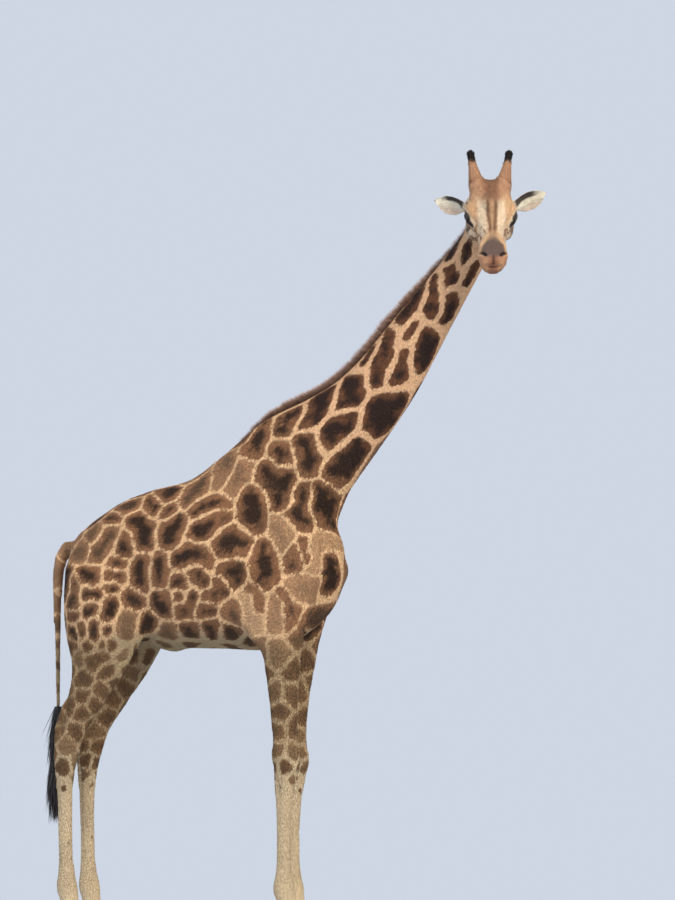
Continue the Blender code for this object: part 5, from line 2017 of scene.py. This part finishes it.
@dataclass
class Coat:
    """The dressed skin and the short hair over it, a piece for each zone."""

    skin: Skin = field(default_factory=Skin)  # the form under the coat
    dressing: Dressing = field(default_factory=Dressing)  # its colours and the hair's lie
    density: float = 20000.0  # locks a square metre on the barrel
    length: float = 0.020  # of a lock there
    width: float = 0.0056  # of its root
    crest_reach: float = 0.030  # how far round the CAD mane the crest is looked for
    crest_tint: Span = (0.022, 0.008)  # between these distances from it the coat takes the mane's colour
    crest_plain: Span = (0.018, 0.008)  # between these it loses its patches
    crest_grown: Span = (0.016, 0.004)  # between these the mane grows

    def build_skin(self) -> bpy.types.Object:
        """The skin, sculpted, coloured, unwrapped and drawn in by the coat's depth.

        Returns:
            The skin, which the hair is planted on.
        """
        mesh = self.skin.form()
        plain = coordinates(mesh)
        self.skin.sculpt(mesh)
        EARS.shape(mesh)
        points, normals = coordinates(mesh), normals_of(mesh)
        reach = reach_of(points)
        ridge = distance_to("mane", points, self.crest_reach)
        ground, patch, edge = self.dressing.colours(points, plain, normals, self.skin.lids)
        ground = blend(ground, Tint.MANE, step(*self.crest_tint, ridge))
        painted_as(mesh, ground, patch, edge - 0.08 * step(*self.crest_plain, ridge))
        size = self.dressing.hair_size(points, reach)
        give(mesh, "size", size)
        give(mesh, "lie", self.dressing.lie(points, normals, reach), "FLOAT_VECTOR")
        grown = self.dressing.hairy(points, plain, self.skin.lids)
        for name, share in self.dressing.growth(points).items():
            give(mesh, name, share * grown)
        give(mesh, "crest", step(*self.crest_grown, ridge))
        give(mesh, "mane_size", self.dressing.mane_size(points))
        give(mesh, "ear_hair", self.dressing.ear_hair(points, normals))
        depth = self.skin.face_depth + (self.skin.coat_depth - self.skin.face_depth) * step(0.4, 1.0, size)
        put(mesh, points - normals * depth[:, None])
        piece = new_object("skin", mesh)
        unwrap(piece)
        mesh.materials.append(CoatFinish("giraffe_skin", on_hairs=False).build())
        return ride(piece, self.skin.flesh())

    def build_hair(self, skin: bpy.types.Object, hair: HairTree, lock: bpy.types.Object) -> None:
        """The short coat, one piece for each zone.

        Args:
            skin: the dressed skin.
            hair: the tree that plants the locks.
            lock: the form of one lock.
        """
        finish = CoatFinish("giraffe_coat", on_hairs=True).build()
        for zone in Zone:
            word = zone.name.lower()
            growth = Growth(f"grow_{word}", self.density, self.length, self.width, seed=10 + zone)
            ride(hair.plant(f"coat_{word}", skin, lock, growth, finish))


@dataclass(frozen=True)
class Mane:
    """The short upright mane down the back of the neck."""

    finish: HairFinish = HairFinish("mane_hair", (118, 84, 66), (184, 144, 118))
    growth: Growth = Growth(
        "crest", 110000.0, 0.047, 0.0048, rise=72.0, spread=11.0, ruffle=0.14, size="mane_size", seed=31
    )

    def build(self, skin: bpy.types.Object, hair: HairTree, lock: bpy.types.Object) -> None:
        """The mane, planted along the skin's crest."""
        ride(hair.plant("mane_hair", skin, lock, self.growth, self.finish.build()), ["mane"])


@dataclass(frozen=True)
class EarHair:
    """The long pale hair inside the ears."""

    finish: HairFinish = HairFinish("ear_hair", (206, 192, 166), (240, 234, 220))
    growth: Growth = Growth("ear_hair", 34000.0, 0.036, 0.0042, rise=24.0, spread=26.0, seed=41)

    def build(self, skin: bpy.types.Object, hair: HairTree, lock: bpy.types.Object) -> None:
        """The hair, planted inside both ears."""
        ride(hair.plant("ear_hair", skin, lock, self.growth, self.finish.build()))


@dataclass(frozen=True)
class TailTuft:
    """The long black switch at the tail's end."""

    core_depth: float = 0.013  # how far the solid core lies inside the CAD switch
    voxel: float = 0.008  # the size of its quads
    rounds: int = 8  # how often it is smoothed
    strand: float = 0.24  # the longest strand
    shortest: float = 0.16  # the shortest, as a share of that
    taper: float = 0.22  # the length over which the core sinks from nothing at the top to its full depth
    finish: HairFinish = HairFinish("tail_hair", (24, 20, 20), (58, 48, 44), roughness=0.45)
    core_finish: HairFinish = HairFinish("tail_core", (26, 22, 21), (26, 22, 21))  # the core's

    def build(self, hair: HairTree, lock: bpy.types.Object) -> None:
        """The switch: a core and strands that run down over it.

        Args:
            hair: the tree that plants the strands.
            lock: the form of one strand.
        """
        mesh = remeshed(merged(["tail_tuft"]), self.voxel)
        relaxed(mesh, self.rounds)
        low, top = (corner.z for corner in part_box("tail_tuft"))
        sink(mesh, self.core_depth * step(top, top - self.taper, coordinates(mesh)[:, 2]))
        points = coordinates(mesh)
        give(mesh, "lie", repeated((0.0, 0.0, -1.0), points), "FLOAT_VECTOR")
        give(mesh, "size", np.clip((points[:, 2] - low) / self.strand, self.shortest, 1.0))
        give(mesh, "grow", step(0.35, 0.20, normals_of(mesh)[:, 2]))
        core = new_object("tail_core", mesh)
        unwrap(core)
        mesh.materials.append(self.core_finish.build())
        growth = Growth("grow", 26000.0, self.strand, 0.0070, rise=3.2, spread=6.0, ruffle=0.6, seed=51)
        ride(hair.plant("tail_strands", core, lock, growth, self.finish.build()))
        ride(core, ["tail_tuft"])


@dataclass(frozen=True)
class Horns:
    """The two skin-covered horns, tan below and crowned with black hair."""

    voxel: float = 0.0045  # the size of their skin's quads
    rounds: int = 10  # how often it is smoothed
    black_from: float = 0.66  # where the black starts, as a share of a horn's height
    depth: float = 0.0022  # how far the horn's skin lies inside its coat
    crown_depth: float = 0.0030  # how much deeper it lies under the black hair
    cropped: float = 0.014  # how much lower it ends than the CAD solid
    # The short coat below the crown, and the crown's black hair:
    shorn: Growth = Growth("short", 95000.0, 0.0085, 0.0022, rise=7.0, seed=61)
    crown: Growth = Growth("tall", 80000.0, 0.013, 0.0034, rise=16.0, spread=22.0, ruffle=0.6, seed=62)

    def build(self, hair: HairTree, short: bpy.types.Object, long: bpy.types.Object) -> None:
        """Both horns with their hair.

        Args:
            hair: the tree that plants it.
            short: the form of one hair of the coat.
            long: the form of one hair of the crown.
        """
        skin_finish = CoatFinish("horn_skin", on_hairs=False).build()
        hair_finish = CoatFinish("horn_hair", on_hairs=True).build()
        for side in Side:
            node = f"ossicone_{side.word}"
            low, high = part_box(node)
            mesh = remeshed(merged([node]), self.voxel)
            relaxed(mesh, self.rounds)
            points, normals = coordinates(mesh), normals_of(mesh)
            height = (points[:, 2] - low.z) / (high.z - low.z)
            height = height + 0.05 * wander(points, 0.014, 2.0 + side)
            black = step(self.black_from - 0.05, self.black_from + 0.05, height)
            colour = layered(
                repeated(Tint.HORN_TAN, points),
                (Tint.FOREHEAD, 0.7 * step(0.30, 0.05, height)),
                (Tint.DARK * 0.55, black),
            )
            painted_as(mesh, colour, colour, np.full(len(points), -1.0))
            lie = blend(repeated((0.0, 0.0, -1.0), points), HEAD.turned((-0.45, 0.0, 1.0)), black)
            give(mesh, "lie", flattened(lie, normals), "FLOAT_VECTOR")
            for name, share in (("size", np.ones(len(points))), ("short", 1 - black), ("tall", black)):
                give(mesh, name, share)
            points[:, 2] -= self.cropped * step(0.4, 1.0, height)
            depth = self.depth + self.crown_depth * black
            put(mesh, points - normals * depth[:, None])
            horn = new_object(f"horn_{side.word}", mesh)
            unwrap(horn)
            mesh.materials.append(skin_finish)
            ride(hair.plant(f"horn_coat_{side.word}", horn, short, self.shorn, hair_finish))
            ride(hair.plant(f"horn_crown_{side.word}", horn, long, self.crown, hair_finish))
            ride(horn, [node])


@dataclass(frozen=True)
class Eyes:
    """The two dark eyes."""

    rings: int = 64  # lengths and rounds of each ball
    cornea: float = 0.0016  # how far the clear front bulges
    iris: float = 0.70  # the iris's radius, as a share of the ball's
    soft: float = 0.04  # how blurred its edge is, as the same
    pupil: Span = (0.44, 0.24)  # the level pupil's half width and half height, as the same
    white: np.ndarray = field(default_factory=lambda: paint(70, 56, 50))  # the colour round the iris
    brown: np.ndarray = field(default_factory=lambda: paint(46, 27, 17))  # the iris's own
    black: np.ndarray = field(default_factory=lambda: paint(9, 8, 9))  # the pupil's

    def build(self, lids: Eyelids) -> None:
        """Both eyes.

        Args:
            lids: the eyelids that they are set behind.
        """
        finish = EyeFinish().build()
        for side in Side:
            axes, middle = lids.axes(side), lids.middle(side)
            ball = bmesh.new()
            bmesh.ops.create_uvsphere(ball, u_segments=self.rings, v_segments=self.rings // 2, radius=1.0)
            mesh = as_mesh(ball, f"eye_{side.word}")
            local = coordinates(mesh)
            across = np.hypot(local[:, 0] / self.pupil[0], local[:, 1] / self.pupil[1])
            round_ = np.hypot(local[:, 0], local[:, 1])
            front = local[:, 2] > 0
            colour = layered(
                repeated(self.white, local),
                (self.brown, front * step(self.iris + self.soft, self.iris - self.soft, round_)),
                (self.black, front * step(1.12, 0.9, across)),
            )
            bulge = 1 + self.cornea / HeadFrame.EYE_RADIUS * step(0.8, 0.3, round_) * front
            give(mesh, "iris", colour, "FLOAT_COLOR")
            place = local * (HeadFrame.EYE_RADIUS * bulge)[:, None] @ axes + middle
            put(mesh, HEAD.outside(place))
            if side == Side.RIGHT:
                mesh.flip_normals()
            piece = new_object(f"eyeball_{side.word}", mesh)
            mesh.materials.append(finish)
            ride(piece, [f"eye_{side.word}"])


@dataclass(frozen=True)
class Lashes:
    """The long lashes of the upper lids."""

    strip: float = 0.0022  # how wide the line that they grow from is
    steps: int = 40  # lengths of that line
    corner: float = 12.0  # how far past the lids' corners it runs, in degrees
    outside: float = 1.02  # how far outside the opening it starts, as a share of the opening
    fan: float = 0.45  # how much the lashes lean to the lids' corners
    finish: HairFinish = HairFinish("lash_hair", (20, 16, 15), (34, 26, 22), roughness=0.5)
    growth: Growth = Growth("grow", 900000.0, 0.030, 0.0012, rise=46.0, spread=22.0, ruffle=0.25, seed=71)

    def build(self, lids: Eyelids, hair: HairTree, lock: bpy.types.Object) -> None:
        """Lashes along both upper lids.

        Args:
            lids: the eyelids.
            hair: the tree that plants the lashes.
            lock: the form of one lash.
        """
        made = bmesh.new()
        ways = []
        for side in Side:
            axes, middle = lids.axes(side), lids.middle(side)
            pairs = []
            for i in range(self.steps + 1):
                angle = math.radians((180 + 2 * self.corner) * i / self.steps - self.corner)
                flat = np.array((math.cos(angle) * lids.half_width, math.sin(angle) * lids.half_height))
                pair = []
                for grown in (self.outside, self.outside + self.strip / lids.half_height):
                    a, b = flat * grown
                    cover = HeadFrame.EYE_RADIUS + lids.lid
                    spot = np.array((a, b, math.sqrt(cover**2 - a * a - b * b)))
                    pair.append(made.verts.new(HEAD.outside(spot @ axes + middle)))
                    ways.append(HEAD.turned(np.array((self.fan * math.cos(angle), 0.10, 1.0)) @ axes))
                pairs.append(pair)
            for (a, b), (c, d) in zip(pairs, pairs[1:]):
                made.faces.new((a, b, d, c) if side == Side.RIGHT else (c, d, b, a))
        mesh = as_mesh(made, "lash_line")
        give(mesh, "lie", np.array(ways), "FLOAT_VECTOR")
        for name in ("size", "grow"):
            give(mesh, name, np.ones(len(ways)))
        line = new_object("lash_line", mesh)
        unwrap(line)
        ride(hair.plant("lashes", line, lock, self.growth, self.finish.build()))
        discard(line)


@dataclass(frozen=True)
class Hooves:
    """The four cloven hooves."""

    voxel: float = 0.0042  # the size of their quads
    rounds: int = 6  # how often they are smoothed
    narrowing: float = 0.15  # how much narrower their tops are than the CAD solids
    top_from: float = 0.8  # the top starts at this share of the height

    def build(self) -> None:
        """One piece for each foot's two claws."""
        finish = HoofFinish().build()
        for end in ("fore", "hind"):
            for side in Side:
                nodes = [f"hoof_{end}_{side.word}_{claw.word}" for claw in Side]
                foot = bmesh.new()
                for claw in [remeshed(merged([node]), self.voxel) for node in nodes]:
                    relaxed(claw, self.rounds)
                    foot.from_mesh(claw)
                    bpy.data.meshes.remove(claw)
                mesh = as_mesh(foot, "foot")
                points = coordinates(mesh)
                points[:, 2] = np.where(points[:, 2] < self.voxel / 2, 0.0, points[:, 2])
                high = points[:, 2].max()
                middle = points[points[:, 2] > self.top_from * high, :2].mean(axis=0)
                narrowed = self.narrowing * np.clip(points[:, 2] / high, 0, 1) ** 1.5
                points[:, :2] += (middle - points[:, :2]) * narrowed[:, None]
                put(mesh, points)
                mesh.materials.append(finish)
                ride(new_object(f"feet_{end}_{side.word}", mesh), nodes)


# ---------------------------------------------------------------- studio
@dataclass(frozen=True)
class Studio:
    """A pale floor, soft light and the camera."""

    azimuth: float = 18.0  # how far the camera stands round from the right side towards the front, in degrees
    away: float = 58.1  # its distance
    eye_height: float = 1.6  # its height over the floor
    look: Spot = (0.1817, 0.3411, 2.82)  # the place it looks at
    lens: float = 400.0  # its focal length in millimetres
    sensor: float = 36.0  # its sensor's width in millimetres
    reach: float = 200.0  # how far it sees
    floor_radius: float = 10.0  # the floor's
    floor_sides: int = 96  # how many sides the floor has
    aim: Spot = (0.0, 0.1, 2.2)  # the place that the lights face
    lamps: tuple = (  # name, place, power in watts, size and colour of each light
        ("key", (9.0, -8.0, 11.0), 1900.0, 5.0, (255, 246, 232)),
        ("fill", (-9.0, -9.0, 6.0), 500.0, 8.0, (232, 240, 255)),
        ("back", (-4.0, 10.0, 8.0), 600.0, 6.0, (240, 245, 255)),
    )

    def lamp(self, name: str, place: Spot, power: float, size: float, tint: Spot) -> None:
        """A soft square light that faces the animal's middle.

        Args:
            name: its name.
            place: where it hangs.
            power: in watts.
            size: its side, in metres.
            tint: its screen colour.
        """
        light = bpy.data.lights.new(name, "AREA")
        light.energy, light.size = power, size
        light.color = paint(*tint)
        lamp = bpy.data.objects.new(name, light)
        lamp.location = place
        way = Vector(self.aim) - Vector(place)
        lamp.rotation_euler = way.to_track_quat("-Z", "Y").to_euler()
        bpy.context.scene.collection.objects.link(lamp)

    def build(self) -> None:
        """Floor, backdrop, lights and camera."""
        disc = bmesh.new()
        bmesh.ops.create_circle(disc, cap_ends=True, segments=self.floor_sides, radius=self.floor_radius)
        mesh = as_mesh(disc, "floor")
        mesh.materials.append(FloorFinish().build())
        floor = new_object("floor", mesh)
        world = bpy.data.worlds.new("studio")
        world.use_nodes = True
        world.node_tree.nodes["Background"].inputs["Color"].default_value = rgba(paint(206, 214, 227))
        bpy.context.scene.world = world
        for lamp in self.lamps:
            self.lamp(*lamp)
        camera = bpy.data.objects.new("camera", bpy.data.cameras.new("camera"))
        camera.data.lens, camera.data.sensor_width = self.lens, self.sensor
        camera.data.clip_end = self.reach
        turn = math.radians(self.azimuth)
        look = Vector(self.look)
        camera.location = look + Vector((math.sin(turn), -math.cos(turn), 0.0)) * self.away
        camera.location.z = self.eye_height
        camera.rotation_euler = (camera.location - look).to_track_quat("Z", "Y").to_euler()
        bpy.context.scene.collection.objects.link(camera)
        bpy.context.scene.camera = camera
        bpy.context.scene.view_settings.view_transform = "Standard"


def main() -> None:
    """Builds the giraffe, then the studio round it."""
    logging.basicConfig(level=logging.INFO, format="%(relativeCreated)d ms %(message)s")
    hair = HairTree()
    stub = hair_form("lock_short", 1)
    curl = hair_form("lock_long", 3, arch=0.10)
    strand = hair_form("lock_strand", 4)
    coat = Coat()
    skin = coat.build_skin()
    coat.build_hair(skin, hair, stub)
    Mane().build(skin, hair, curl)
    EarHair().build(skin, hair, curl)
    TailTuft().build(hair, strand)
    Horns().build(hair, stub, curl)
    Eyes().build(coat.skin.lids)
    Lashes().build(coat.skin.lids, hair, curl)
    Hooves().build()
    discard(stub, curl, strand)
    Studio().build()


if __name__ == "__main__":
    main()
